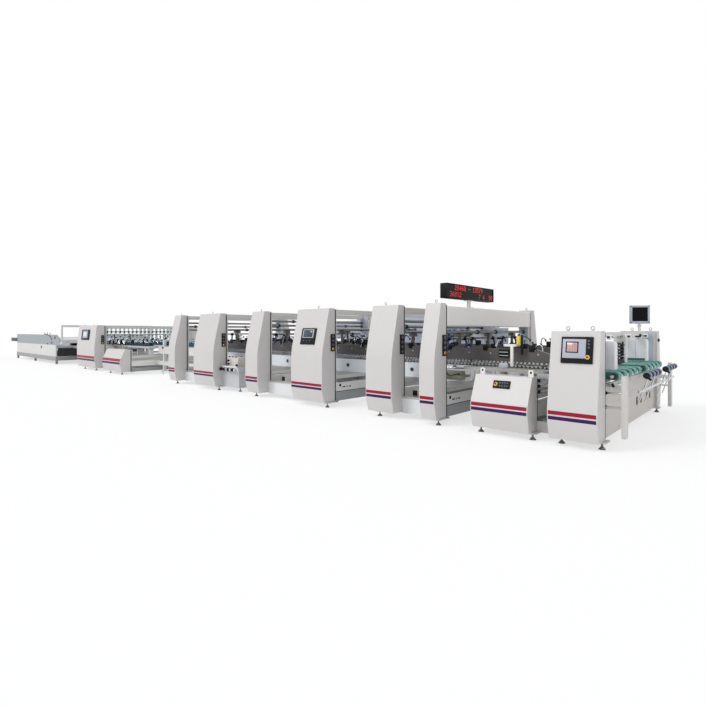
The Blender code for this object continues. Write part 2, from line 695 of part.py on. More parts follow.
def hook_set(name, station, rod_z, lines):
    """Straps bent to hooks and arms, by turns, clamped on a cross rod between two posts."""
    x, reach = x_at(station), POST_OUTER - POST_DEPTH - SEAT
    half, clamp = HOOK_THICKNESS / 2, HOOK_CLAMP / 2
    solids = [bar((x, -reach, rod_z), (x, reach, rod_z), HOOK_ROD_RADIUS, ROD_SIDES)]
    for i, y in enumerate(lines):
        shape = HOOK_SHAPE if i % 2 == 0 else ARM_SHAPE
        path = [(x + u, rod_z + v) for u, v in shape]
        solids.append(prism(ribbon(path, HOOK_STRAP), y - half, y + half, across_line))
        solids.append(block(x - clamp, x + clamp, y - clamp * 0.7, y + clamp * 0.7, rod_z - clamp,
                            rod_z + HOOK_CLAMP_ABOVE / 2))
    return fuse(name, solids, DARK_STEEL)


# Feeder

def feeder_frame():
    """Posts, sills, front panel with its slots, top rails and the monitor's pole."""
    start, end = FEEDER_START + POST_INSET, FEEDER_START + FEEDER_LENGTH - POST_INSET
    top = FEEDER_TOP - POST_DROP
    inner = POST_OUTER - POST_DEPTH / 2
    solids = sills(start, ALIGNER_START + POST_INSET - SILL_LEAD - SEAT)
    solids += posts(FEEDER_START, FEEDER_LENGTH, top) + front_posts()
    solids.append(cross_block(start + FRONT_PANEL / 2, FRONT_PANEL, SILL_BOTTOM + 0.01, FRONT_PANEL_TOP,
                              inner))
    solids.append(cross_block(end - BASE_BEAM / 2, BASE_BEAM, SILL_BOTTOM + 0.01, SILL_TOP - 0.02, inner))
    for station in top_rail_stations():
        solids.append(cross_block(station, TOP_RAIL_WIDTH, top - TOP_RAIL_HEIGHT - 0.01, top - 0.01,
                                  inner))
    for station in (start + 0.12, end - 0.12):
        solids.append(cross_block(station, 0.06, FRONT_PANEL_TOP - 0.12, FRONT_PANEL_TOP - 0.05, inner))
    pole_x = x_at(top_rail_stations()[0])
    solids.append(bar((pole_x, MONITOR_Y, top - TOP_RAIL_HEIGHT / 2),
                      (pole_x, MONITOR_Y, swivel_height()),
                      MONITOR_POLE_RADIUS))
    for place in FEEDER_FEET:
        for side in (NEAR, FAR):
            solids += foot(FEEDER_START + place, side, FEEDER_FOOT_OUT)
    return fuse("feeder_frame", solids, WHITE_PAINT, front_slots(start))


def front_slots(start):
    """Round-cornered slots through the feeder's front panel, beside its middle."""
    cutters = []
    half, rise, bend = FRONT_SLOT_WIDTH / 2, FRONT_SLOT_HEIGHT / 2, FRONT_SLOT_WIDTH * 0.45
    for y in FRONT_SLOTS:
        corners = [
            (y - half, FRONT_SLOT_Z - rise, bend),
            (y + half, FRONT_SLOT_Z - rise, bend),
            (y + half, FRONT_SLOT_Z + rise, bend),
            (y - half, FRONT_SLOT_Z + rise, bend),
        ]
        cutters.append(prism(rounded(corners, 3), x_at(start - 0.05), x_at(start + FRONT_PANEL + 0.02),
                             along_line))
    return cutters


def top_rail_stations():
    """Front and rear top rail of the feeder."""
    middle = FEEDER_START + FEEDER_LENGTH / 2
    return (middle - 0.13, middle + 0.13)


def feed_belts():
    """Flat belts in two groups, each round its own nose, joined by the shafts that they run on."""
    top, bottom = PASS_LINE, PASS_LINE - FEED_BELT_HEIGHT
    front, rear = x_at(FEED_BELT_FRONT), x_at(FEED_BELT_REAR)
    nose = FEED_BELT_HEIGHT / 2
    outline = rounded([(front, top, nose), (front, bottom, nose), (rear, bottom, nose),
                       (rear, top, nose)], 2)
    half = FEED_BELT_WIDTH / 2
    solids = []
    for side in (NEAR, FAR):
        for i in range(FEED_BELTS_A_SIDE):
            y = side * (FEED_BELT_FIRST + i * FEED_BELT_PITCH)
            solids.append(prism(outline, y - half, y + half, across_line))
    z = PASS_LINE - FEED_BELT_HEIGHT / 2
    reach = POST_OUTER - POST_DEPTH - SEAT
    for station in (FEEDER_START + 0.12, FEEDER_START + FEEDER_LENGTH - 0.12):
        x = x_at(station)
        solids.append(bar((x, -reach, z), (x, reach, z), FEED_SHAFT_RADIUS, ROD_SIDES))
    return fuse("feed_belts", solids, GREEN_BELT)


def side_guide(name, y, start):
    """A box plate over the belts that hangs from the two top rails by a saddle."""
    rail_bottom = FEEDER_TOP - POST_DROP - TOP_RAIL_HEIGHT - 0.01
    front, rear = top_rail_stations()
    half = GUIDE_WIDTH / 2
    end = start + GUIDE_LENGTH
    outline = rounded([
        (x_at(start), GUIDE_BOTTOM, 0.0),
        (x_at(start), GUIDE_TOP, 0.04),
        (x_at(end), GUIDE_TOP, 0.0),
        (x_at(end), GUIDE_BOTTOM, 0.0),
    ], 3)
    solids = [prism(outline, y - half, y + half, across_line)]
    plate_top = rail_bottom - SEAT
    solids.append(block(x_at(front - 0.06), x_at(rear + 0.06), y - 0.06, y + 0.06, GUIDE_TOP - 0.02,
                        plate_top))
    return fuse(name, solids, WHITE_PAINT)


def feed_gate():
    """The upright gate blade that lets one blank through at a time, clamped under the front top rail."""
    rail_bottom = FEEDER_TOP - POST_DROP - TOP_RAIL_HEIGHT - 0.01
    x = x_at(top_rail_stations()[0])
    y, half = GATE_Y, GATE_WIDTH / 2
    solids = [
        block(x - 0.02, x + 0.02, y - half, y + half, PASS_LINE + 0.02, rail_bottom - SEAT),
        block(x - 0.07, x + 0.07, y - half - 0.02, y + half + 0.02, rail_bottom - 0.08,
              rail_bottom - SEAT),
        bar((x + 0.03, y - half, PASS_LINE + 0.07), (x + 0.03, y + half, PASS_LINE + 0.07), 0.035),
    ]
    return fuse("feed_gate", solids, DARK_STEEL)


def front_posts():
    """The two channel posts in front of the feeder, each tied back to its front panel by a rod."""
    x0 = x_at(RACK_POST_STATION)
    panel_x = x_at(FEEDER_START + POST_INSET) - FRONT_PANEL / 2
    solids = []
    for side in (NEAR, FAR):
        y = side * (POST_OUTER - RACK_POST_WIDTH / 2)
        solids.append(block(x0, x0 + RACK_POST_DEPTH, y - RACK_POST_WIDTH / 2, y + RACK_POST_WIDTH / 2,
                            RACK_POST_BOTTOM, RACK_POST_TOP))
        solids.append(block(panel_x, x0 + RACK_POST_DEPTH / 2, y - RACK_TIE / 2, y + RACK_TIE / 2,
                            RACK_TIE_Z - RACK_TIE / 2, RACK_TIE_Z + RACK_TIE / 2))
    return solids


def arm_point(y, reach):
    """A point on a leaning roller arm, reach along it from the rack's tube."""
    x = x_at(RACK_TUBE_STATION) + reach * math.sin(ROLLER_LEAN)
    return Vector((x, y, RACK_TUBE_Z + reach * math.cos(ROLLER_LEAN)))


def roller_rack():
    """Tube on two brackets in front of the panel, with leaning arms that carry pairs of rollers."""
    x, panel_x = x_at(RACK_TUBE_STATION), x_at(FEEDER_START + POST_INSET) + SEAT
    solids = [bar((x, -RACK_TUBE_HALF, RACK_TUBE_Z), (x, RACK_TUBE_HALF, RACK_TUBE_Z), RACK_TUBE_RADIUS)]
    for side in (NEAR, FAR):
        y = side * (RACK_TUBE_HALF - RACK_BRACKET_INSET)
        outline = [(panel_x, RACK_TUBE_Z - RACK_BRACKET_HEIGHT / 2),
                   (panel_x, RACK_TUBE_Z + RACK_BRACKET_HEIGHT / 2),
                   (x, RACK_TUBE_Z + RACK_TUBE_RADIUS), (x, RACK_TUBE_Z - RACK_TUBE_RADIUS)]
        solids.append(prism(outline, y - RACK_BRACKET / 2, y + RACK_BRACKET / 2, across_line))
    clamp = RACK_TUBE_RADIUS + 0.012
    shaft = ROLLER_ARM_RADIUS * 1.4
    for middle in ROLLER_GROUPS:
        for arm_y in (middle + ROLLER_ARMS[0], middle + ROLLER_ARMS[1]):
            solids.append(bar(arm_point(arm_y, -ROLLER_ARM_BELOW), arm_point(arm_y, ROLLER_ARM_ABOVE),
                              ROLLER_ARM_RADIUS, ROD_SIDES))
            solids.append(block(x - clamp, x + clamp, arm_y - 0.022, arm_y + 0.022, RACK_TUBE_Z - clamp,
                                RACK_TUBE_Z + clamp))
        low = arm_point(middle - ROLLER_SHAFT_HALF, ROLLER_ARM_ABOVE)
        high = arm_point(middle + ROLLER_SHAFT_HALF, ROLLER_ARM_ABOVE)
        solids.append(bar(low, high, shaft, ROD_SIDES))
        for offset in ROLLER_OFFSETS:
            start = arm_point(middle + offset - ROLLER_WIDTH / 2, ROLLER_ARM_ABOVE)
            end = arm_point(middle + offset + ROLLER_WIDTH / 2, ROLLER_ARM_ABOVE)
            solids.append(bar(start, end, ROLLER_RADIUS, ROLLER_SIDES + 2))
    return fuse("roller_rack", solids, BLUE_ROLLER)


def swivel_height():
    """Height at which the monitor's swivel sits on its pole."""
    return FEEDER_TOP + MONITOR_CLEAR - MONITOR_SOCKET


def monitor():
    """A flat screen on a short socket that turns on the pole."""
    holder = bpy.data.objects.new("monitor_swivel", None)
    bpy.context.scene.collection.objects.link(holder)
    holder.location = (x_at(top_rail_stations()[0]), MONITOR_Y, swivel_height() + SEAT)
    holder.rotation_euler = (0, 0, MONITOR_TURN)
    half, base = MONITOR_WIDTH / 2, MONITOR_SOCKET
    solids = [
        block(-half, half, -MONITOR_DEPTH / 2, MONITOR_DEPTH / 2, base, base + MONITOR_HEIGHT),
        bar((0, 0, 0), (0, 0, base + 0.02), MONITOR_POLE_RADIUS),
    ]
    made = fuse("monitor", solids, GREY_PAINT)
    made.parent = holder
    return made


# Aligner

def aligner_frame():
    """Low frame with its cross beams, carrier rails and sloping registers."""
    start, end = ALIGNER_START + POST_INSET, ALIGNER_START + ALIGNER_LENGTH - POST_INSET
    inner = POST_OUTER - POST_DEPTH / 2
    solids = sills(start - SILL_LEAD, end) + posts(ALIGNER_START, ALIGNER_LENGTH, LOW_TOP - POST_DROP)
    for station in (start + BASE_BEAM / 2, end - BASE_BEAM / 2):
        solids.append(cross_block(station, BASE_BEAM, SILL_BOTTOM + 0.01, SILL_TOP - 0.02, inner))
        solids.append(cross_block(station, BASE_BEAM, WHITE_BEAM_BOTTOM, WHITE_BEAM_TOP, inner))
    for station in (start + 0.15, end - 0.15):
        solids.append(cross_block(station, CARRIER_RAIL, CARRIER_RAIL_TOP - CARRIER_RAIL,
                                  CARRIER_RAIL_TOP, inner))
    rails = (start + 0.15, end - 0.15)
    for y, half in TABLES:
        outline = rounded([
            (x_at(TABLE_START), y - half, TABLE_NOSE), (x_at(TABLE_START), y + half, TABLE_NOSE),
            (x_at(TABLE_END), y + half, TABLE_NOSE), (x_at(TABLE_END), y - half, TABLE_NOSE),
        ], 3)
        solids.append(prism(outline, TABLE_TOP - TABLE_THICKNESS, TABLE_TOP, upwards))
        for station in rails:
            x = x_at(station)
            solids.append(block(x - 0.03, x + 0.03, y - 0.06, y + 0.06, CARRIER_RAIL_TOP - 0.02,
                                TABLE_TOP - 0.02))
    for place in ALIGNER_FEET:
        for side in (NEAR, FAR):
            solids += foot(ALIGNER_START + place, side, ALIGNER_FOOT_OUT)
    return fuse("aligner_frame", solids, WHITE_PAINT, table_slots())


def table_slots():
    """A lightening slot through each of the aligner's tables."""
    cutters = []
    middle = (TABLE_START + TABLE_END) / 2 + TABLE_SLOT_SHIFT
    for y, half in TABLES:
        x0, x1 = x_at(middle - TABLE_SLOT / 2), x_at(middle + TABLE_SLOT / 2)
        reach = half - 0.08
        outline = rounded([(x0, y - reach, reach), (x0, y + reach, reach), (x1, y + reach, reach),
                           (x1, y - reach, reach)], 2)
        cutters.append(prism(outline, TABLE_TOP - TABLE_THICKNESS - 0.01, TABLE_TOP + 0.01, upwards))
    return cutters


# Prefolder

def gantry_beam():
    """Box beam over the line between the two narrow housings, on top of their posts."""
    start, length = PREFOLD_NARROW_START, PREFOLD_NARROW_LENGTH
    x0, x1 = x_at(start + GANTRY_WALL_CLEAR), x_at(start + length - GANTRY_WALL_CLEAR)
    made = add_object("gantry_beam", block(x0, x1, -POST_OUTER, POST_OUTER, GANTRY_BOTTOM, GANTRY_TOP),
                      WHITE_PAINT)
    soft = made.modifiers.new("edges", "BEVEL")
    soft.width = 0.02
    soft.segments = 2
    return made


def display_board():
    """Long display board on a post that stands on the gantry."""
    x = x_at(PREFOLD_NARROW_START + PREFOLD_NARROW_LENGTH / 2)
    y = -POST_OUTER + BOARD_FROM_NEAR
    half = BOARD_DEPTH / 2
    solids = [
        block(x - half, x + half, y - BOARD_LENGTH / 2, y + BOARD_LENGTH / 2, BOARD_BOTTOM,
              BOARD_BOTTOM + BOARD_HEIGHT),
        bar((x, y, GANTRY_TOP + SEAT), (x, y, BOARD_BOTTOM + 0.02), BOARD_POST_RADIUS),
        bar((x, y, GANTRY_TOP + SEAT), (x, y, GANTRY_TOP + 0.02), BOARD_POST_RADIUS * 2),
    ]
    return fuse("display_board", solids, BLACK_PLASTIC)


# Final folder

def adjuster_shelf():
    """Sheet metal pedestal beside the final folder's near post, with a knob shelf and a glue tank on it."""
    x1 = x_at(FINAL_WIDE_START) + SEAT
    x2 = x1 + SHELF_LENGTH
    outer, inner = -(BACK_PLANE + SHELF_OUT), -(BACK_PLANE - SHELF_IN)
    shelf_bottom = SHELF_Z - SHELF_THICKNESS
    solids = [
        block(x1, x2, outer - 0.06, inner, shelf_bottom, SHELF_Z),
        block(x1, x2 - 0.06, outer, inner, FLOOR_CLEARANCE, shelf_bottom + 0.02),
    ]
    tank_x = x1 + TANK_LENGTH / 2 + 0.16
    low, high = TANK_LENGTH / 2 - 0.06, TANK_LENGTH / 2
    tank = [(tank_x - low, SHELF_Z - 0.01), (tank_x + low, SHELF_Z - 0.01),
            (tank_x + high, SHELF_Z + TANK_HEIGHT),
            (tank_x - high, SHELF_Z + TANK_HEIGHT)]
    solids.append(prism(tank, outer + 0.04, outer + 0.04 + TANK_WIDTH, across_line))
    knob_z = SHELF_Z - SHELF_THICKNESS / 2
    for i in range(3):
        x = x2 - 0.10 - i * 0.20
        solids.append(bar((x, outer - 0.12, knob_z), (x, outer - 0.04, knob_z), 0.035, ROD_SIDES))
    foot_x, foot_y = x2 - 0.18, outer + 0.12
    solids.append(cone((foot_x, foot_y, 0), (foot_x, foot_y, FOOT_PAD_HEIGHT), FOOT_PAD_RADIUS,
                       FOOT_NECK_RADIUS,
                       FOOT_SIDES))
    solids.append(bar((foot_x, foot_y, FOOT_PAD_HEIGHT / 2), (foot_x, foot_y, FLOOR_CLEARANCE + 0.02),
                      FOOT_STEM_RADIUS, STEM_SIDES))
    return fuse("adjuster_shelf", solids, GREY_PAINT)


# Transfer

def transfer_stations():
    """Stations of the three stands under the transfer belts."""
    return (TRANSFER_START + 0.35, (TRANSFER_START + TRANSFER_END) / 2, TRANSFER_END - 0.35)


def transfer_frame():
    """Narrow ladder frame behind the final folder, with skirts and hoops over the belts."""
    start = FINAL_NARROW_START + FINAL_NARROW_LENGTH / 2 + WHITE_BEAM / 2 + SEAT
    end = PRESS_LOW_START + POST_INSET - SEAT
    half = TRANSFER_HALF_WIDTH
    rail_top = PASS_LINE - TRANSFER_BELT_HEIGHT - SEAT
    hoop_top = TRANSFER_PRESS_BOTTOM + TRANSFER_PRESS_HEIGHT + 0.05
    solids = []
    for side in (NEAR, FAR):
        solids.append(block(x_at(start), x_at(end), side * half, side * (half - SILL_WIDTH),
                            TRANSFER_SILL_BOTTOM, TRANSFER_SILL_TOP))
        solids.append(block(x_at(TRANSFER_START), x_at(TRANSFER_END), side * half, side * (half - 0.03),
                            TRANSFER_SKIRT_BOTTOM, PASS_LINE - TRANSFER_SKIRT_DROP))
    for station in transfer_stations():
        x = x_at(station)
        solids.append(cross_block(station, BASE_BEAM, TRANSFER_SILL_BOTTOM + 0.01,
                                  TRANSFER_SILL_TOP - 0.02, half - 0.02))
        solids.append(cross_block(station, TRANSFER_RAIL, rail_top - TRANSFER_RAIL, rail_top,
                                  half - 0.01))
        for side in (NEAR, FAR):
            y = side * (half - 0.02)
            solids.append(block(x - TRANSFER_STAND / 2, x + TRANSFER_STAND / 2, y,
                                y - side * TRANSFER_STAND,
                                SILL_BOTTOM, hoop_top))
        solids.append(cross_block(station, TRANSFER_RAIL, hoop_top - 0.05, hoop_top, half - 0.03))
    for station in transfer_stations():
        for side in (NEAR, FAR):
            solids += foot(station, side, plane=half - FOOT_OUT)
    return fuse("transfer_frame", solids, WHITE_PAINT)


def transfer_belts():
    """Three long belts with round ends, joined by the shafts that they run on."""
    nose = TRANSFER_BELT_HEIGHT / 2
    top, bottom = PASS_LINE, PASS_LINE - TRANSFER_BELT_HEIGHT
    front, rear = x_at(TRANSFER_START - 0.04), x_at(TRANSFER_END + 0.04)
    outline = rounded([(front, top, nose), (front, bottom, nose), (rear, bottom, nose),
                       (rear, top, nose)], 3)
    half = TRANSFER_BELT_WIDTH / 2
    solids = [prism(outline, y - half, y + half, across_line) for y in TRANSFER_BELTS]
    z = (top + bottom) / 2
    reach = TRANSFER_BELTS[-1] + half + 0.03
    for station in (TRANSFER_START + 0.10, TRANSFER_END - 0.10):
        x = x_at(station)
        solids.append(bar((x, -reach, z), (x, reach, z), FEED_SHAFT_RADIUS, ROD_SIDES))
    return fuse("transfer_belts", solids, GREEN_BELT)


def transfer_press():
    """Pressing beams with rollers over the transfer belts, hung from the hoops by a cross bar each."""
    top = TRANSFER_PRESS_BOTTOM + TRANSFER_PRESS_HEIGHT
    solids = []
    for y in TRANSFER_BELTS:
        solids.append(block(x_at(TRANSFER_START + 0.15), x_at(TRANSFER_END - 0.15), y - 0.04, y + 0.04,
                            TRANSFER_PRESS_BOTTOM, top - SEAT))
        count = TRANSFER_PRESS_ROLLERS
        for i in range(count):
            x = x_at(TRANSFER_START + 0.30 + i * (TRANSFER_END - TRANSFER_START - 0.60) / (count - 1))
            z = TRANSFER_PRESS_BOTTOM - 0.02
            solids.append(bar((x, y - 0.07, z), (x, y + 0.07, z), 0.045, ROD_SIDES))
    for station in transfer_stations():
        solids.append(cross_block(station + 0.12, 0.05, TRANSFER_PRESS_BOTTOM + 0.02, top - 0.02,
                                  TRANSFER_BELTS[-1]))
        solids.append(block(x_at(station + 0.14), x_at(station), -0.03, 0.03, top - 0.05, top - SEAT))
    return fuse("transfer_press", solids, DARK_STEEL)


# Press unit

def press_frame():
    """Frame of the press unit: low and tall posts, beams, overhead rails and tables."""
    start = PRESS_LOW_START + POST_INSET
    end = PRESS_CONSOLE_START + PRESS_CONSOLE_LENGTH - POST_INSET
    inner = POST_OUTER - POST_DEPTH / 2
    top = CONSOLE_TOP - POST_DROP
    solids = sills(start, end)
    solids += posts(PRESS_LOW_START, PRESS_LOW_LENGTH, LOW_TOP - POST_DROP)
    solids += posts(PRESS_CONSOLE_START, PRESS_CONSOLE_LENGTH, top)
    low_middle = PRESS_LOW_START + PRESS_LOW_LENGTH / 2
    console_middle = PRESS_CONSOLE_START + PRESS_CONSOLE_LENGTH / 2
    for station in (start + BASE_BEAM / 2, low_middle, console_middle, end - BASE_BEAM / 2):
        solids.append(cross_block(station, BASE_BEAM, SILL_BOTTOM + 0.01, SILL_TOP - 0.02, inner))
    for station in press_rail_stations():
        solids.append(cross_block(station, WHITE_BEAM, WHITE_BEAM_BOTTOM, WHITE_BEAM_TOP, inner))
        solids.append(cross_block(station, CARRIER_RAIL, CARRIER_RAIL_TOP - CARRIER_RAIL,
                                  CARRIER_RAIL_TOP, inner))
    rods = (PRESS_CONSOLE_START + PRESS_ROD_INSET,
            PRESS_CONSOLE_START + PRESS_CONSOLE_LENGTH - PRESS_ROD_INSET)
    for station in rods:
        solids.append(cross_block(station, TOP_BEAM, top - TOP_BEAM - 0.01, top - 0.01, inner))
        solids.append(cross_rod(station, top - PRESS_ROD_DROP))
    low_feet, console_feet = PRESS_LOW_LENGTH * PRESS_FEET_SHARE, PRESS_CONSOLE_LENGTH * PRESS_FEET_SHARE
    for station in (low_middle - low_feet, low_middle + low_feet, console_middle - console_feet,
                    console_middle + console_feet):
        for side in (NEAR, FAR):
            solids += foot(station, side)
    return fuse("press_frame", solids, WHITE_PAINT)


def press_rail_stations():
    """Stations of the cross rails that the press unit's belts stand on."""
    return (PRESS_LOW_START + POST_INSET + WHITE_BEAM / 2,
            PRESS_LOW_START + PRESS_LOW_LENGTH / 2 + PRESS_RAIL_SHIFT,
            PRESS_CONSOLE_START + PRESS_CONSOLE_LENGTH / 2)


def press_belts():
    """The press unit's lower belts on legs on the carrier rails, joined by their drive shafts."""
    half, nose = PRESS_BELT_WIDTH / 2, PRESS_BELT_HEIGHT / 2
    bottom = PASS_LINE - PRESS_BELT_HEIGHT
    front = x_at(PRESS_LOW_START + PRESS_BELT_INSET)
    rear = x_at(PRESS_CONSOLE_START + PRESS_CONSOLE_LENGTH + PRESS_BELT_REACH)
    outline = rounded([(front, PASS_LINE, nose), (front, bottom, nose), (rear, bottom, nose),
                       (rear, PASS_LINE, nose)], 3)
    solids = []
    for y in PRESS_BELT_LINES:
        solids.append(prism(outline, y - half, y + half, across_line))
        for station in press_rail_stations():
            x = x_at(station)
            solids.append(block(x - PRESS_BELT_LEG, x + PRESS_BELT_LEG, y - half * 0.6, y + half * 0.6,
                                CARRIER_RAIL_TOP + SEAT, bottom + 0.02))
    reach = PRESS_BELT_LINES[-1] + PRESS_SHAFT_REACH
    for station in (PRESS_LOW_START + PRESS_LOW_LENGTH + PRESS_RAIL_SHIFT,
                    PRESS_CONSOLE_START + PRESS_SHAFT_INSET):
        x, z = x_at(station), PASS_LINE - nose
        solids.append(bar((x, -reach, z), (x, reach, z), FEED_SHAFT_RADIUS, ROD_SIDES))
    return fuse("press_belts", solids, DARK_STEEL)


# Delivery

def delivery_frame():
    """Base frame, side walls and lower belt bed of the delivery, with its bridge to the press unit."""
    x0, x1 = x_at(DELIVERY_START), x_at(DELIVERY_SIDE_END)
    y, base = DELIVERY_HALF_WIDTH, DELIVERY_BASE_WIDTH
    solids = []
    for side in (NEAR, FAR):
        solids.append(block(x0, x1, side * y, side * (y - base), DELIVERY_BASE_BOTTOM, DELIVERY_BASE_TOP))
        solids.append(block(x0 - 0.06, x1, side * (y - 0.02), side * (y - 0.02 - DELIVERY_WALL),
                            DELIVERY_BASE_TOP - 0.02, DELIVERY_SIDE_TOP))
    for x in (x0 - base / 2, (x0 + x1) / 2, x1 + base / 2):
        solids.append(block(x - base / 2, x + base / 2, -y + 0.05, y - 0.05, DELIVERY_BASE_BOTTOM + 0.01,
                            DELIVERY_BASE_TOP - 0.01))
        for side in (NEAR, FAR):
            foot_y = side * (y - base / 2)
            solids.append(bar((x, foot_y, 0), (x, foot_y, DELIVERY_BASE_BOTTOM + 0.02), FOOT_PAD_RADIUS,
                              FOOT_SIDES))
    bed_bottom = DELIVERY_BED_TOP - DELIVERY_BED
    solids.append(block(x0 - 0.10, x1 + 0.02, -(y - 0.05), y - 0.05, bed_bottom, DELIVERY_BED_TOP))
    half = DELIVERY_BRIDGE_HALF
    bridge = x_at(DELIVERY_BRIDGE_START)
    outline = rounded([(bridge, DELIVERY_BED_TOP - 0.01, 0.06), (bridge, bed_bottom + 0.01, 0.06),
                       (x0 - 0.20, bed_bottom + 0.01, 0.0), (x0 - 0.20, DELIVERY_BED_TOP - 0.01, 0.0)], 3)
    solids.append(prism(outline, -half, half, across_line))
    leg = x_at(DELIVERY_BRIDGE_START + DELIVERY_LEG)
    tie_end = x_at(PRESS_CONSOLE_START + PRESS_CONSOLE_LENGTH - POST_INSET) - SEAT
    for side in (NEAR, FAR):
        solids.append(block(leg - 0.05, leg + 0.05, side * half, side * (half - 0.10), 0.0,
                            bed_bottom + 0.03))
        solids.append(block(leg, tie_end, side * half, side * (half - 0.08), SILL_BOTTOM + 0.02,
                            SILL_TOP - 0.04))
    return fuse("delivery_frame", solids, WHITE_PAINT)


def delivery_upper():
    """Upper part of the delivery: side covers, its belt bed and the portal at its infeed."""
    x0, x1 = x_at(DELIVERY_COVER_START), x_at(DELIVERY_SIDE_END)
    y = DELIVERY_HALF_WIDTH - 0.02
    bottom = DELIVERY_SIDE_TOP + SEAT
    nose = x_at(DELIVERY_NOSE_START)
    solids = []
    for side in (NEAR, FAR):
        outline = rounded([
            (nose, bottom, 0.0),
            (nose, DELIVERY_NOSE_TOP, 0.04),
            (x0, DELIVERY_NOSE_TOP + 0.03, 0.0),
            (x0, DELIVERY_COVER_TOP - 0.22, 0.10),
            (x0 - 0.55, DELIVERY_COVER_TOP, 0.20),
            (x1, DELIVERY_COVER_TOP, 0.05),
            (x1, bottom, 0.0),
        ], 3)
        solids.append(prism(outline, side * y, side * (y - 0.06), across_line))
    bed = bottom + DELIVERY_UPPER_CLEAR
    solids.append(block(x0 + 0.30, x1 + 0.10, -(y - 0.03), y - 0.03, bed, bed + DELIVERY_UPPER_BED))
    x = x_at(PORTAL_STATION)
    half = PORTAL_WIDTH / 2
    solids.append(block(x - half, x + half, -y, y, PORTAL_TOP - PORTAL_WIDTH, PORTAL_TOP))
    for side in (NEAR, FAR):
        solids.append(block(x - half, x + half, side * y, side * (y - 0.06), bottom + 0.06,
                            PORTAL_TOP - 0.02))
    return fuse("delivery_upper", solids, GREY_PAINT)


def delivery_roller():
    """The roller at the delivery's end, in two brackets bolted to the end of its side walls."""
    r = DELIVERY_ROLLER_RADIUS
    x = x_at(DELIVERY_END) + r
    y = DELIVERY_HALF_WIDTH
    start = x_at(DELIVERY_SIDE_END) - SEAT
    solids = [bar((x, -(y - 0.04), DELIVERY_ROLLER_Z), (x, y - 0.04, DELIVERY_ROLLER_Z), r)]
    for side in (NEAR, FAR):
        solids.append(block(start, x - 0.04, side * y, side * (y - 0.08), DELIVERY_ROLLER_Z - 0.11,
                            DELIVERY_ROLLER_Z + 0.07))
    return fuse("delivery_roller", solids, DARK_STEEL)


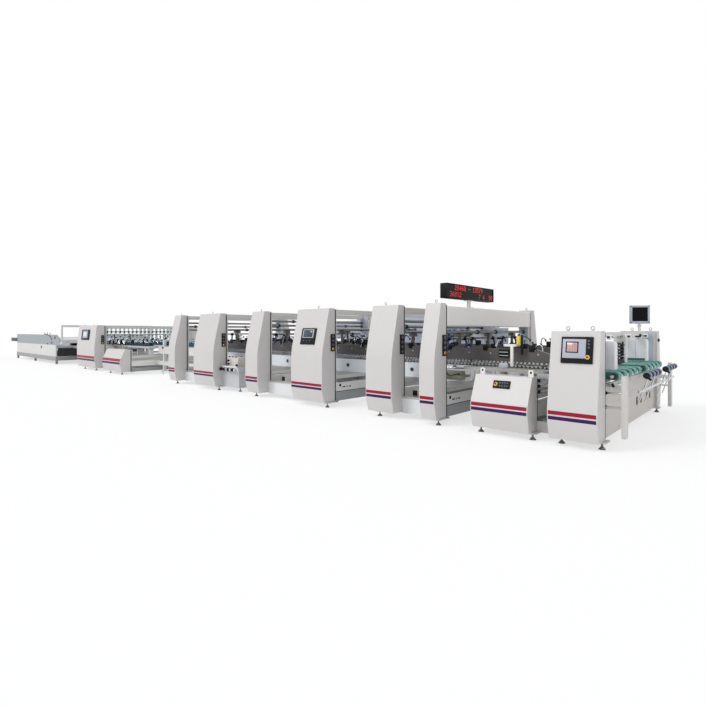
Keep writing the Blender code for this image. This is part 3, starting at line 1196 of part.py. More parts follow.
def build():
    for side, word in ((NEAR, "near"), (FAR, "far")):
        housing(f"feeder_housing_{word}", side, FEEDER_START, FEEDER_LENGTH, "feeder")
        housing(f"aligner_housing_{word}", side, ALIGNER_START, ALIGNER_LENGTH, "low")
        housing(f"prefold_narrow_housing_{word}", side, PREFOLD_NARROW_START, PREFOLD_NARROW_LENGTH,
                "tall")
        housing(f"prefold_wide_housing_{word}", side, PREFOLD_WIDE_START, PREFOLD_WIDE_LENGTH, "tall")
        housing(f"lock_wide_housing_{word}", side, LOCK_WIDE_START, LOCK_WIDE_LENGTH, "tall")
        housing(f"lock_narrow_housing_{word}", side, LOCK_NARROW_START, LOCK_NARROW_LENGTH, "tall")
        housing(f"final_wide_housing_{word}", side, FINAL_WIDE_START, FINAL_WIDE_LENGTH, "tall")
        housing(f"final_narrow_housing_{word}", side, FINAL_NARROW_START, FINAL_NARROW_LENGTH, "tall")
        housing(f"press_low_housing_{word}", side, PRESS_LOW_START, PRESS_LOW_LENGTH, "low")
        housing(f"press_console_{word}", side, PRESS_CONSOLE_START, PRESS_CONSOLE_LENGTH, "console")
    feeder_frame()
    feed_belts()
    side_guide("side_guide_near", GUIDE_NEAR_Y, GUIDE_NEAR_START)
    side_guide("side_guide_far", GUIDE_FAR_Y, GUIDE_FAR_START)
    feed_gate()
    roller_rack()
    monitor()
    touch_panel("feeder_touch_panel", "feeder", FEEDER_START + FEEDER_LENGTH * 0.45, FEEDER_PANEL_WIDTH,
                FEEDER_PANEL_HEIGHT, FEEDER_PANEL_TOP)
    touch_panel("lock_touch_panel", "tall", LOCK_WIDE_START + LOCK_WIDE_LENGTH * 0.5, LOCK_PANEL_WIDTH,
                LOCK_PANEL_HEIGHT, LOCK_PANEL_TOP)
    touch_panel("press_touch_panel", "console", PRESS_CONSOLE_START + PRESS_CONSOLE_LENGTH * 0.55,
                PRESS_PANEL_WIDTH,
                PRESS_PANEL_HEIGHT, PRESS_PANEL_TOP)
    aligner_frame()
    guard_top = GANTRY_BOTTOM - PREFOLD_GUARD_DROP
    guard = (PREFOLD_GUARD_START, LOCK_WIDE_START + POST_INSET - SEAT,
             guard_top - PREFOLD_GUARD_HEIGHT, guard_top)
    two_bay_frame("prefold_frame", (PREFOLD_NARROW_START, PREFOLD_NARROW_LENGTH),
                  (PREFOLD_WIDE_START, PREFOLD_WIDE_LENGTH), TALL_TOP, gantry=True, guard=guard)
    guard_top = TALL_TOP - LOCK_GUARD_DROP
    guard = (LOCK_WIDE_START + LOCK_WIDE_LENGTH - 2 * POST_INSET, FINAL_WIDE_START + POST_INSET - SEAT,
             guard_top - LOCK_GUARD_HEIGHT, guard_top)
    two_bay_frame("lock_frame", (LOCK_WIDE_START, LOCK_WIDE_LENGTH),
                  (LOCK_NARROW_START, LOCK_NARROW_LENGTH), TALL_TOP, guard=guard)
    two_bay_frame("final_frame", (FINAL_WIDE_START, FINAL_WIDE_LENGTH),
                  (FINAL_NARROW_START, FINAL_NARROW_LENGTH),
                  TALL_TOP)
    gantry_beam()
    display_board()
    hook_z = rod_height(True) - HOOK_ROD_BELOW
    hook_set("prefold_hooks", PREFOLD_NARROW_START + PREFOLD_NARROW_LENGTH / 2 + HOOK_ROD_OFFSET, hook_z,
             PREFOLD_HOOKS)
    hook_z = rod_height(False) - HOOK_ROD_BELOW
    hook_set("lock_hooks", LOCK_NARROW_START + LOCK_NARROW_LENGTH / 2 + HOOK_ROD_OFFSET, hook_z,
             LOCK_HOOKS)
    hook_set("final_hooks", FINAL_WIDE_START + FINAL_WIDE_LENGTH / 2 - HOOK_ROD_OFFSET * 2, hook_z,
             FINAL_HOOKS)
    hook_set("press_hooks", PRESS_CONSOLE_START + PRESS_ROD_INSET + HOOK_ROD_OFFSET,
             CONSOLE_TOP - POST_DROP - PRESS_HOOK_DROP, PRESS_HOOKS)
    for i, y in enumerate(CARRIER_LINES):
        lower_carrier(f"lower_carrier_{i + 1}", y)
        upper_carrier(f"upper_carrier_{i + 1}", y)
    adjuster_shelf()
    transfer_frame()
    transfer_belts()
    transfer_press()
    press_frame()
    press_belts()
    delivery_frame()
    delivery_upper()
    delivery_roller()


build()
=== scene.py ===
import math
import random
import bmesh
import bpy
from mathutils import Matrix, Vector


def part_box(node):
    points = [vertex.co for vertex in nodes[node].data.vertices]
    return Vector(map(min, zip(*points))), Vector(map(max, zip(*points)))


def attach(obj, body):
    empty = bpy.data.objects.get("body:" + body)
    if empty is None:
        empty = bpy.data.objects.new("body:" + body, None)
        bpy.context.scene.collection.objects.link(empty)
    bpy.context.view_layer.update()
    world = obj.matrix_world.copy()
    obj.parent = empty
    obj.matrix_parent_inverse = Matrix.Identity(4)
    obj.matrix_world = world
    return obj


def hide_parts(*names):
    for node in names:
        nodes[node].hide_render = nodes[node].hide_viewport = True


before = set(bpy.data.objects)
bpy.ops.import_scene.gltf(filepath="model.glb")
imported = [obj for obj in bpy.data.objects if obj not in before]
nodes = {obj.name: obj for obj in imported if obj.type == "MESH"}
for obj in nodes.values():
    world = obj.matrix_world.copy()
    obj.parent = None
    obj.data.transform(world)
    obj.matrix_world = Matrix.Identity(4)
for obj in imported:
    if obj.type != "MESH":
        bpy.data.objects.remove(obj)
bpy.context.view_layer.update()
sides = {"near": -1, "far": 1}
luck = random.Random(7)


def corners(node):  # lowest and highest corner of a CAD node
    low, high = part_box(node)
    return Vector(low), Vector(high)


lineFront = corners("feeder_housing_near")[1].x + 0.06  # X of the line's station 0
backPlane = -corners("lock_wide_housing_near")[1].y  # the housings' back planes
tallTop = corners("lock_wide_housing_near")[1].z
passLine = corners("feed_belts")[1].z  # the blanks travel at this height
gantryLow = corners("gantry_beam")[0].z


def at(station):  # X of a place counted from the feeder's front towards the delivery
    return lineFront - station


# Camera, lamps and floor

cameraPlan = {
    "frame": 706,  # image side in pixels
    "focus": 460.0,  # focal length in pixels
    "horizon": 331.0,  # image row of the eye's height
    "eyeHeight": 1.5,
    "turn": 42.5,  # degrees from the line's cross direction
    "ahead": 1.531,  # eye in front of station 0, and outside the feet
    "aside": 6.330,
    "feet": 1.93,
}


def setCamera():
    plan = cameraPlan
    lens = bpy.data.cameras.new("camera")
    lens.sensor_width = 36
    lens.lens = plan["focus"] / plan["frame"] * lens.sensor_width
    lens.shift_y = (plan["horizon"] - plan["frame"] / 2) / plan["frame"]
    lens.clip_end = 200
    eye = bpy.data.objects.new("camera", lens)
    bpy.context.scene.collection.objects.link(eye)
    eye.location = (lineFront + plan["ahead"], -plan["feet"] - plan["aside"], plan["eyeHeight"])
    eye.rotation_euler = (math.pi / 2, 0, math.radians(plan["turn"]))
    bpy.context.scene.camera = eye


lampPlan = {
    "key": {"strength": 1.20, "angle": 26, "from": (-0.42, -0.66, 0.62)},
    "side": {"strength": 0.10, "angle": 50, "from": (0.85, -0.25, 0.45)},
    "sky": 0.74,
}


def setLamps():
    for name in ("key", "side"):
        plan = lampPlan[name]
        lamp = bpy.data.lights.new(name, "SUN")
        lamp.energy = plan["strength"]
        lamp.angle = math.radians(plan["angle"])
        holder = bpy.data.objects.new(name, lamp)
        holder.rotation_euler = Vector(plan["from"]).to_track_quat("Z", "Y").to_euler()
        bpy.context.scene.collection.objects.link(holder)
    world = bpy.data.worlds.new("studio")
    world.use_nodes = True
    tree = world.node_tree
    back = tree.nodes["Background"]
    back.inputs["Color"].default_value = (0.98, 0.99, 1.0, 1)
    back.inputs["Strength"].default_value = lampPlan["sky"]
    white = makeNode(tree, "ShaderNodeBackground", None, {"Color": (1, 1, 1, 1)})
    mix = makeNode(tree, "ShaderNodeMixShader", None,
                   {0: directRays(tree), 1: back.outputs[0], 2: white.outputs[0]})
    tree.links.new(mix.outputs[0], tree.nodes["World Output"].inputs["Surface"])
    bpy.context.scene.world = world
    bpy.context.scene.view_settings.view_transform = "Standard"


# Nodes: one function makes a node, sets it and fills or links its inputs

def makeNode(tree, kind, settings=None, sockets=None):
    made = tree.nodes.new(kind)
    for key, value in (settings or {}).items():
        setattr(made, key, value)
    for key, value in (sockets or {}).items():
        if isinstance(value, Wire):
            value = value.socket
        if isinstance(value, bpy.types.NodeSocket):
            tree.links.new(value, made.inputs[key])
        else:
            made.inputs[key].default_value = value
    return made


def directRays(tree):  # 1 on rays from the camera, from a mirror or through glass
    rays = makeNode(tree, "ShaderNodeLightPath").outputs
    seen = rays["Is Camera Ray"]
    for other in ("Is Glossy Ray", "Is Transmission Ray"):
        seen = makeNode(tree, "ShaderNodeMath", {"operation": "MAXIMUM"},
                        {0: seen, 1: rays[other]}).outputs[0]
    return seen


# Shader maths: a socket that takes part in sums, and a material that hands them out

class Wire:
    def __init__(self, finish, socket):
        self.finish = finish
        self.socket = socket

    def maths(self, operation, first, second=0.0):
        return self.finish.node("ShaderNodeMath", {"operation": operation}, {0: first, 1: second})

    def __add__(self, other):
        return self.maths("ADD", self, other)

    def __radd__(self, other):
        return self.maths("ADD", other, self)

    def __sub__(self, other):
        return self.maths("SUBTRACT", self, other)

    def __rsub__(self, other):
        return self.maths("SUBTRACT", other, self)

    def __mul__(self, other):
        return self.maths("MULTIPLY", self, other)

    def __rmul__(self, other):
        return self.maths("MULTIPLY", other, self)

    def __truediv__(self, other):
        return self.maths("DIVIDE", self, other)

    def __gt__(self, other):
        return self.maths("GREATER_THAN", self, other)

    def __lt__(self, other):
        return self.maths("LESS_THAN", self, other)

    def wave(self):
        return self.maths("SINE", self)

    def part(self):
        return self.maths("FRACT", self)

    def size(self):
        return self.maths("ABSOLUTE", self)


class Finish:
    def __init__(self, name):
        self.material = bpy.data.materials.new(name)
        self.material.use_nodes = True
        self.tree = self.material.node_tree
        self.tree.nodes.clear()

    def node(self, kind, settings=None, sockets=None, output=0):
        return Wire(self, makeNode(self.tree, kind, settings, sockets).outputs[output])

    def place(self, stretch=(1, 1, 1)):
        spot = self.node("ShaderNodeTexCoord", output="Object")
        return self.node("ShaderNodeMapping", None, {"Vector": spot, "Scale": stretch})

    def axis(self, letter):
        spot = self.node("ShaderNodeTexCoord", output="Object")
        return self.node("ShaderNodeSeparateXYZ", None, {0: spot}, "XYZ".index(letter))

    def noise(self, scale, detail=2.0, stretch=(1, 1, 1)):
        return self.node("ShaderNodeTexNoise", None,
                         {"Vector": self.place(stretch), "Scale": scale, "Detail": detail})

    def blend(self, factor, first, second, how="MIX"):
        sockets = {0: factor, 6: first, 7: second}
        return self.node("ShaderNodeMix", {"data_type": "RGBA", "blend_type": how}, sockets, 2)

    def bump(self, height, depth, strength=0.5):
        sockets = {"Height": height, "Distance": depth, "Strength": strength}
        return self.node("ShaderNodeBump", None, sockets)

    def close(self, sockets):
        skin = self.node("ShaderNodeBsdfPrincipled", None, sockets)
        makeNode(self.tree, "ShaderNodeOutputMaterial", None, {"Surface": skin})
        return self.material


def tint(red, green, blue):  # a colour as seen on the screen, for a shader's socket
    values = [(c / 255 / 12.92) if c <= 10 else ((c / 255 + 0.055) / 1.055) ** 2.4
              for c in (red, green, blue)]
    return (*values, 1.0)


def shade(colour, factor):
    return (*[min(1.0, c * factor) for c in colour[:3]], 1.0)


# Finishes

def paintFinish(name, colour, roughness=0.42, peel=0.00012, lowDarkenRate=0.05):
    finish = Finish(name)
    cloud = finish.noise(0.9, 3.0)
    speck = finish.noise(60.0, 2.0)
    low = finish.axis("Z")
    # darker towards the bottom: below 0.45 m the paint blends towards a darker copy of itself, and specks
    # darken it here and there
    lowDarkening = (0.45 - low) * lowDarkenRate
    worn = finish.blend(cloud, shade(colour, 0.965), shade(colour, 1.02))
    specksAndLowDarkening = finish.node("ShaderNodeClamp", None,
                       {"Value": lowDarkening + (speck - 0.5) * 0.03, "Min": 0.0, "Max": 0.3})
    skin = finish.blend(specksAndLowDarkening, worn, shade(colour, 0.55))
    fine = finish.noise(420.0, 2.0)
    return finish.close({
        "Base Color": skin,
        "Roughness": roughness + (cloud - 0.5) * 0.10,
        "Normal": finish.bump(fine, peel, 0.35),
    })


# Paint over steel feet that changes by place: a zone is a colour and limits (axis, low, high)
def zonedFinish(name, base, zones, footTop=0.084):
    finish = Finish(name)
    cloud = finish.noise(1.3, 3.0)
    speck = finish.noise(90.0, 2.0)
    skin = finish.blend(cloud, shade(base, 0.95), shade(base, 1.02))
    places = {letter: finish.axis(letter) for letter in "XYZ"}
    places["B"] = places["Y"].size()  # distance from the middle of the line
    for colour, *limits in zones:
        inside = 1.0
        for letter, low, high in limits:
            inside = (places[letter] > low) * (places[letter] < high) * inside
        skin = finish.blend(inside, skin, finish.blend(cloud, shade(colour, 0.94), shade(colour, 1.03)))
    foot = places["Z"] < footTop
    steel = finish.blend(speck, tint(96, 94, 91), tint(150, 147, 142))
    fine = finish.noise(380.0, 2.0)
    return finish.close({
        "Base Color": finish.blend(foot, skin, steel),
        "Roughness": 0.45 + (speck - 0.5) * 0.12,
        "Metallic": foot * 0.6,
        "Normal": finish.bump(fine, 0.00012, 0.35),
    })


def metalFinish(name, colour, roughness=0.3, stretch=(1, 1, 1), metallic=0.9, wear=0.12):
    finish = Finish(name)
    grain = finish.noise(140.0, 3.0, stretch)
    patch = finish.noise(4.0, 3.0)
    return finish.close({
        "Base Color": finish.blend(patch, shade(colour, 1 - wear), shade(colour, 1 + wear)),
        "Metallic": metallic,
        "Roughness": roughness + (grain - 0.5) * 0.16,
        "Normal": finish.bump(grain, 0.0001, 0.3),
    })


def plasticFinish(name, colour, roughness=0.45, coat=0.0, grainScale=260.0, gloss=0.5):
    finish = Finish(name)
    grain = finish.noise(grainScale, 2.0)
    patch = finish.noise(9.0, 2.0)
    return finish.close({
        "Base Color": finish.blend(patch, shade(colour, 0.90), shade(colour, 1.08)),
        "Roughness": roughness + (grain - 0.5) * 0.12,
        "Specular IOR Level": gloss,
        "Coat Weight": coat,
        "Normal": finish.bump(grain, 0.00015, 0.4),
    })


def beltFinish(name, colour, pitch=0.006):  # woven belt: fine diagonal weave, slightly scuffed
    finish = Finish(name)
    turn = 2 * math.pi / pitch
    along, across = finish.axis("X"), finish.axis("Y")
    weave = (along * turn + across * turn).wave() * (across * turn - along * turn).wave()
    scuff = finish.noise(7.0, 4.0, (0.4, 3, 1))
    return finish.close({
        "Base Color": finish.blend(scuff, shade(colour, 0.80), shade(colour, 1.15)),
        "Roughness": 0.62 + (scuff - 0.5) * 0.2,
        "Normal": finish.bump(weave, 0.0003, 0.35),
    })


def screenFinish(name, dark, light, lines=0.012):  # a display with soft rows of light fields
    finish = Finish(name)
    rows = (finish.axis("Z") / lines).part()
    cells = (finish.axis("X") / (lines * 2.3)).part()
    field = (rows > 0.35) * (cells > 0.22)
    patch = finish.noise(11.0, 1.0)
    glow = finish.blend(field * patch, dark, light)
    return finish.close({
        "Base Color": glow,
        "Roughness": 0.12,
        "Emission Color": glow,
        "Emission Strength": 0.25,
        "Coat Weight": 0.3,
    })


def lampFinish(name, colour, strength):
    finish = Finish(name)
    flicker = finish.noise(30.0, 1.0)
    return finish.close({
        "Base Color": shade(colour, 0.4),
        "Roughness": 0.3,
        "Emission Color": finish.blend(flicker, shade(colour, 0.85), colour),
        "Emission Strength": strength,
    })


finishes = {
    "shell": paintFinish("shellPaint", tint(206, 203, 202)),
    "panel": paintFinish("panelPaint", tint(180, 189, 202), 0.4),
    "beam": paintFinish("beamPaint", tint(234, 230, 227), 0.4),
    "red": plasticFinish("stripeRed", tint(150, 17, 46), 0.4, gloss=0.25),
    "navy": plasticFinish("stripeNavy", tint(58, 22, 84), 0.4, gloss=0.2),
    "carrier": metalFinish("carrierGrey", tint(92, 89, 88), 0.45, (0.05, 1, 1), 0.35),
    "dark": metalFinish("darkSteel", tint(48, 48, 51), 0.45, (1, 1, 1), 0.4),
    "black": plasticFinish("blackPlastic", tint(17, 17, 19), 0.5, gloss=0.2),
    "rubber": plasticFinish("blackRubber", tint(30, 30, 32), 0.7, gloss=0.2),
    "chrome": metalFinish("brightSteel", tint(205, 205, 207), 0.22, (0.2, 1, 1), 1.0, 0.05),
    "bar": metalFinish("groundBar", tint(132, 131, 130), 0.3, (1, 0.1, 1), 0.8, 0.08),
    "zinc": metalFinish("zincSteel", tint(196, 197, 200), 0.38, (1, 1, 1), 0.6),
    "teal": beltFinish("beltTeal", tint(122, 182, 174)),
    "beltSide": plasticFinish("beltSide", tint(58, 98, 92), 0.6),
    "finger": metalFinish("fingerPlate", tint(206, 216, 218), 0.4, (1, 1, 1), 0.3),
    "grey": plasticFinish("buttonGrey", tint(92, 96, 104), 0.4),
    # dark grey for the low beams' tops
    "pit": paintFinish("deckGrey", tint(110, 108, 103), 0.6),
    "olive": paintFinish("trayOlive", tint(150, 150, 134), 0.5),
    "bright": paintFinish("brightPaint", tint(236, 235, 233), 0.4),
    "cable": plasticFinish("cableBlack", tint(24, 24, 28), 0.55, gloss=0.3),
    "hose": plasticFinish("hoseBlue", tint(44, 62, 112), 0.45),
    "strap": paintFinish("strapNavy", tint(44, 54, 98), 0.4),
    "blue": plasticFinish("rollerBlue", tint(66, 84, 130), 0.4, 0.1),
    "wheel": plasticFinish("wheelTeal", tint(36, 74, 96), 0.45),
    "aqua": beltFinish("beltAqua", tint(160, 214, 212)),
    "belt": beltFinish("beltBlack", tint(48, 48, 50)),
    "bezel": plasticFinish("bezelGrey", tint(172, 177, 190), 0.4),
    "guide": plasticFinish("guideWhite", tint(228, 228, 232), 0.35),
    "unit": paintFinish("unitPaint", tint(122, 138, 172), 0.4),
    "apron": paintFinish("apronPaint", tint(218, 217, 214), 0.42),
    "tread": metalFinish("treadPlate", tint(184, 184, 182), 0.38, (1, 1, 1), 0.45),
    "yellow": plasticFinish("signalYellow", tint(232, 206, 84), 0.4),
    "stop": plasticFinish("stopRed", tint(150, 26, 24), 0.35, 0.2),
    "screen": screenFinish("screenBlue", tint(22, 28, 40), tint(64, 80, 98)),
    "pink": screenFinish("screenRose", tint(158, 122, 122), tint(216, 178, 170), 0.014),
    "pale": screenFinish("screenPale", tint(168, 186, 206), tint(226, 232, 240), 0.02),
    "glass": plasticFinish("blackGlass", tint(9, 9, 11), 0.4, 0.0, 40.0, 0.10),
    "led": lampFinish("ledRed", tint(240, 34, 40), 1.1),
}


# Mesh building

class Shape:  # gathers the closed bodies of one piece
    def __init__(self, place=None):
        self.mesh = bmesh.new()
        self.place = place or Matrix.Identity(4)

    def keep(self, made, edges=(), width=0.0, steps=2):  # bevels a new body's edges and moves it to its place
        if width > 0:
            done = bmesh.ops.bevel(self.mesh, geom=list(edges), offset=width, segments=steps, profile=0.5,
                                   affect="EDGES", clamp_overlap=True)
            made = list({v for f in done["faces"] for v in f.verts} | {v for v in made if v.is_valid})
        bmesh.ops.transform(self.mesh, matrix=self.place, verts=made)

    def block(self, low, high, bevel=0.004, steps=2):
        middle = (Vector(low) + Vector(high)) / 2
        size = [abs(b - a) for a, b in zip(low, high)]
        spot = Matrix.Translation(middle) @ Matrix.Diagonal((*size, 1))
        made = bmesh.ops.create_cube(self.mesh, size=1, matrix=spot)["verts"]
        self.keep(made, {e for v in made for e in v.link_edges}, min(bevel, min(size) * 0.45), steps)

    def lump(self, middle, half, bevel=0.004, steps=2):  # a block about its middle
        self.block([m - h for m, h in zip(middle, half)], [m + h for m, h in zip(middle, half)], bevel, steps)

    def rod(self, start, end, radius, count=16, radiusEnd=None, bevel=0.0):
        start, end = Vector(start), Vector(end)
        way = end - start
        spot = Matrix.Translation((start + end) / 2) @ way.to_track_quat("Z", "Y").to_matrix().to_4x4()
        far = radius if radiusEnd is None else radiusEnd
        made = bmesh.ops.create_cone(self.mesh, cap_ends=True, segments=count, radius1=radius, radius2=far,
                                     depth=way.length, matrix=spot)["verts"]
        caps = {f for v in made for f in v.link_faces if len(f.verts) == count}
        self.keep(made, {e for f in caps for e in f.edges}, bevel)

    def slab(self, outline, low, high, axis="X", bevel=0.0, steps=2):  # an outline pushed out along an axis
        turn = {"X": lambda u, v, w: (w, u, v), "Y": lambda u, v, w: (u, w, v), "Z": lambda u, v,
                w: (u, v, w)}
        ends = [[self.mesh.verts.new(turn[axis](u, v, w)) for u, v in outline] for w in (low, high)]
        caps = [self.mesh.faces.new(ends[0]), self.mesh.faces.new(ends[1][::-1])]
        count = len(outline)
        for i in range(count):
            j = (i + 1) % count
            self.mesh.faces.new((ends[0][j], ends[0][i], ends[1][i], ends[1][j]))
        self.keep(ends[0] + ends[1], {e for f in caps for e in f.edges}, bevel, steps)

    def pipe(self, path, radius, count=10, closed=False):  # a round bar bent along a path
        points = [Vector(p) for p in path]
        total = len(points)
        rings, side = [], None
        for i, here in enumerate(points):
            before = points[i - 1] if closed or i else here
            after = points[(i + 1) % total] if closed or i + 1 < total else here
            way = (after - before).normalized()
            if side is None:
                side = way.orthogonal().normalized()
            side = (side - way * side.dot(way)).normalized()
            up = way.cross(side)
            rings.append([self.mesh.verts.new(here + (side * math.cos(a) + up * math.sin(a)) * radius)
                          for a in (2 * math.pi * k / count for k in range(count))])
        for i in range(total if closed else total - 1):
            one, two = rings[i], rings[(i + 1) % total]
            for k in range(count):
                m = (k + 1) % count
                self.mesh.faces.new((one[k], one[m], two[m], two[k]))
        if not closed:
            self.mesh.faces.new(rings[0][::-1])
            self.mesh.faces.new(rings[-1])
        self.keep([v for ring in rings for v in ring])

    def ring(self, middle, axis, radius, thickness, count=20):
        middle = Vector(middle)
        one = Vector(axis).orthogonal().normalized()
        two = Vector(axis).normalized().cross(one)
        angles = [2 * math.pi * k / count for k in range(count)]
        self.pipe([middle + (one * math.cos(a) + two * math.sin(a)) * radius for a in angles], thickness, 8,
                  True)

    # Rows of boxes: first and last station, low and high Y, low and high Z, then the bevel and its steps
    def boxes(self, rows, side=0.0):
        for start, end, y0, y1, z0, z1, *edge in rows:
            self.block((at(start), side + y0, z0), (at(end), side + y1, z1), *edge)

    # Rows of rods along the line, across it or upright: both ends, the radius, then a rod's other sizes
    def along(self, rows, side=0.0):
        for start, end, y, z, *rest in rows:
            self.rod((at(start), side + y, z), (at(end), side + y, z), *rest)

    def across(self, rows, side=0.0):
        for station, y0, y1, z, *rest in rows:
            self.rod((at(station), side + y0, z), (at(station), side + y1, z), *rest)

    def upright(self, rows, side=0.0):
        for station, y, z0, z1, *rest in rows:
            self.rod((at(station), side + y, z0), (at(station), side + y, z1), *rest)

    def piece(self, name, finish, slot="dark_steel", replaced=()):
        bmesh.ops.recalc_face_normals(self.mesh, faces=self.mesh.faces)
        mesh = bpy.data.meshes.new(name)
        self.mesh.to_mesh(mesh)
        self.mesh.free()
        mesh.shade_smooth()
        mesh.set_sharp_from_angle(angle=math.radians(32))
        made = bpy.data.objects.new(name, mesh)
        bpy.context.scene.collection.objects.link(made)
        return carried(made, finish, replaced)


def shapes(count, place=None):
    return [Shape(place) for _ in range(count)]


def carried(made, finish, replaced=()):
    made.data.materials.clear()
    made.data.materials.append(finishes[finish])
    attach(made, "root")
    if replaced:
        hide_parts(*replaced)
    return made


def bent(points, steps=6):  # an outline of (u, v, radius) corners, with its round corners as arcs
    outline = []
    count = len(points)
    for i, (u, v, radius) in enumerate(points):
        here = Vector((u, v))
        if radius <= 0:
            outline.append(here)
            continue
        back = Vector(points[i - 1][:2]) - here
        ahead = Vector(points[(i + 1) % count][:2]) - here
        half = back.angle(ahead) / 2
        reach = min(radius / math.tan(half), back.length * 0.45, ahead.length * 0.45)
        first, last = here + back.normalized() * reach, here + ahead.normalized() * reach
        for k in range(steps + 1):
            t = k / steps
            outline.append(first * (1 - t) ** 2 + here * 2 * t * (1 - t) + last * t * t)
    return outline


# Geometry Nodes: a tree built node by node, and the object that it grows on

class Growth:
    def __init__(self, name, sizes):
        self.tree = bpy.data.node_groups.new(name, "GeometryNodeTree")
        face = self.tree.interface
        face.new_socket("Geometry", in_out="OUTPUT", socket_type="NodeSocketGeometry")
        face.new_socket("Geometry", in_out="INPUT", socket_type="NodeSocketGeometry")
        kinds = {"f": "NodeSocketFloat", "i": "NodeSocketInt", "v": "NodeSocketVector",
                 "m": "NodeSocketMaterial"}
        for label, kind in sizes.items():
            face.new_socket(label, in_out="INPUT", socket_type=kinds[kind])
        self.start = self.tree.nodes.new("NodeGroupInput")
        self.end = self.tree.nodes.new("NodeGroupOutput")

    def given(self, label):
        return self.start.outputs[label]

    def node(self, kind, settings=None, sockets=None, output=0):
        return makeNode(self.tree, kind, settings, sockets).outputs[output]

    def maths(self, operation, first, second=0.0):
        return self.node("ShaderNodeMath", {"operation": operation}, {0: first, 1: second})

    def vector(self, x=0.0, y=0.0, z=0.0):
        return self.node("ShaderNodeCombineXYZ", None, {0: x, 1: y, 2: z})

    def joined(self, parts):
        made = self.tree.nodes.new("GeometryNodeJoinGeometry")
        for part in parts:
            self.tree.links.new(part, made.inputs[0])
        return made.outputs[0]

    def barrel(self, radius, depth, count, turn=(math.pi / 2, 0, 0), shift=(0, 0, 0)):
        made = self.node("GeometryNodeMeshCylinder", None,
                         {"Vertices": count, "Radius": radius, "Depth": depth})
        return self.node("GeometryNodeTransform", None, {0: made, "Translation": shift, "Rotation": turn})

    def spread(self, points, instance, turn=(0, 0, 0)):
        return self.node("GeometryNodeInstanceOnPoints", None,
                         {"Points": points, "Instance": instance, "Rotation": turn})

    def close(self, geometry):
        real = self.node("GeometryNodeRealizeInstances", None, {0: geometry})
        made = self.node("GeometryNodeSetMaterial", None, {0: real, "Material": self.given("Material")})
        self.tree.links.new(made, self.end.inputs[0])
        return self.tree


def grown(name, tree, points, values, finish):
    mesh = bpy.data.meshes.new(name)
    mesh.from_pydata([tuple(p) for p in points], [], [])
    holder = bpy.data.objects.new(name, mesh)
    bpy.context.scene.collection.objects.link(holder)
    growth = holder.modifiers.new("growth", "NODES")
    growth.node_group = tree
    known = {item.name: item.identifier for item in tree.interface.items_tree if item.in_out == "INPUT"}
    for label, value in values.items():
        growth[known[label]] = value
    growth[known["Material"]] = finishes[finish]
    graph = bpy.context.evaluated_depsgraph_get()
    plain = bpy.data.meshes.new_from_object(holder.evaluated_get(graph), preserve_all_data_layers=True,
                                            depsgraph=graph)
    holder.modifiers.remove(growth)
    holder.data = plain
    plain.name = name
    plain.shade_smooth()
    plain.set_sharp_from_angle(angle=math.radians(32))
    return carried(holder, finish)


def rollerTree():  # on each point, a row of rollers along X with a hub standing out at both ends
    grow = Growth("rollerRow", {"Count": "i", "Pitch": "f", "Radius": "f", "Width": "f", "Hub": "f",
                                "Hub Width": "f", "Material": "m"})
    body = grow.barrel(grow.given("Radius"), grow.given("Width"), 14)
    hub = grow.barrel(grow.given("Hub"), grow.given("Hub Width"), 8)
    step = grow.vector(grow.maths("MULTIPLY", grow.given("Pitch"), -1.0))
    row = grow.node("GeometryNodeMeshLine", None, {"Count": grow.given("Count"), "Offset": step})
    rollers = grow.spread(row, grow.joined([body, hub]))
    return grow.close(grow.spread(grow.start.outputs["Geometry"], rollers))


def screwTree():  # on each point, a hexagon head on a washer, turned to face one way
    grow = Growth("screwHeads", {"Radius": "f", "Height": "f", "Turn": "v", "Material": "m"})
    half = grow.maths("MULTIPLY", grow.given("Height"), 0.5)
    head = grow.barrel(grow.given("Radius"), grow.given("Height"), 6, (0, 0, 0), grow.vector(0, 0, half))
    wide = grow.maths("MULTIPLY", grow.given("Radius"), 1.5)
    thin = grow.maths("MULTIPLY", grow.given("Height"), 0.3)
    washer = grow.barrel(wide, thin, 10, (0, 0, 0))
    screw = grow.joined([head, washer])
    return grow.close(grow.spread(grow.start.outputs["Geometry"], screw, grow.given("Turn")))


def dotTree():  # on each point, one round lamp of a dot display, facing +X
    grow = Growth("displayDots", {"Radius": "f", "Depth": "f", "Material": "m"})
    dot = grow.barrel(grow.given("Radius"), grow.given("Depth"), 8, (0, math.pi / 2, 0))
    return grow.close(grow.spread(grow.start.outputs["Geometry"], dot))


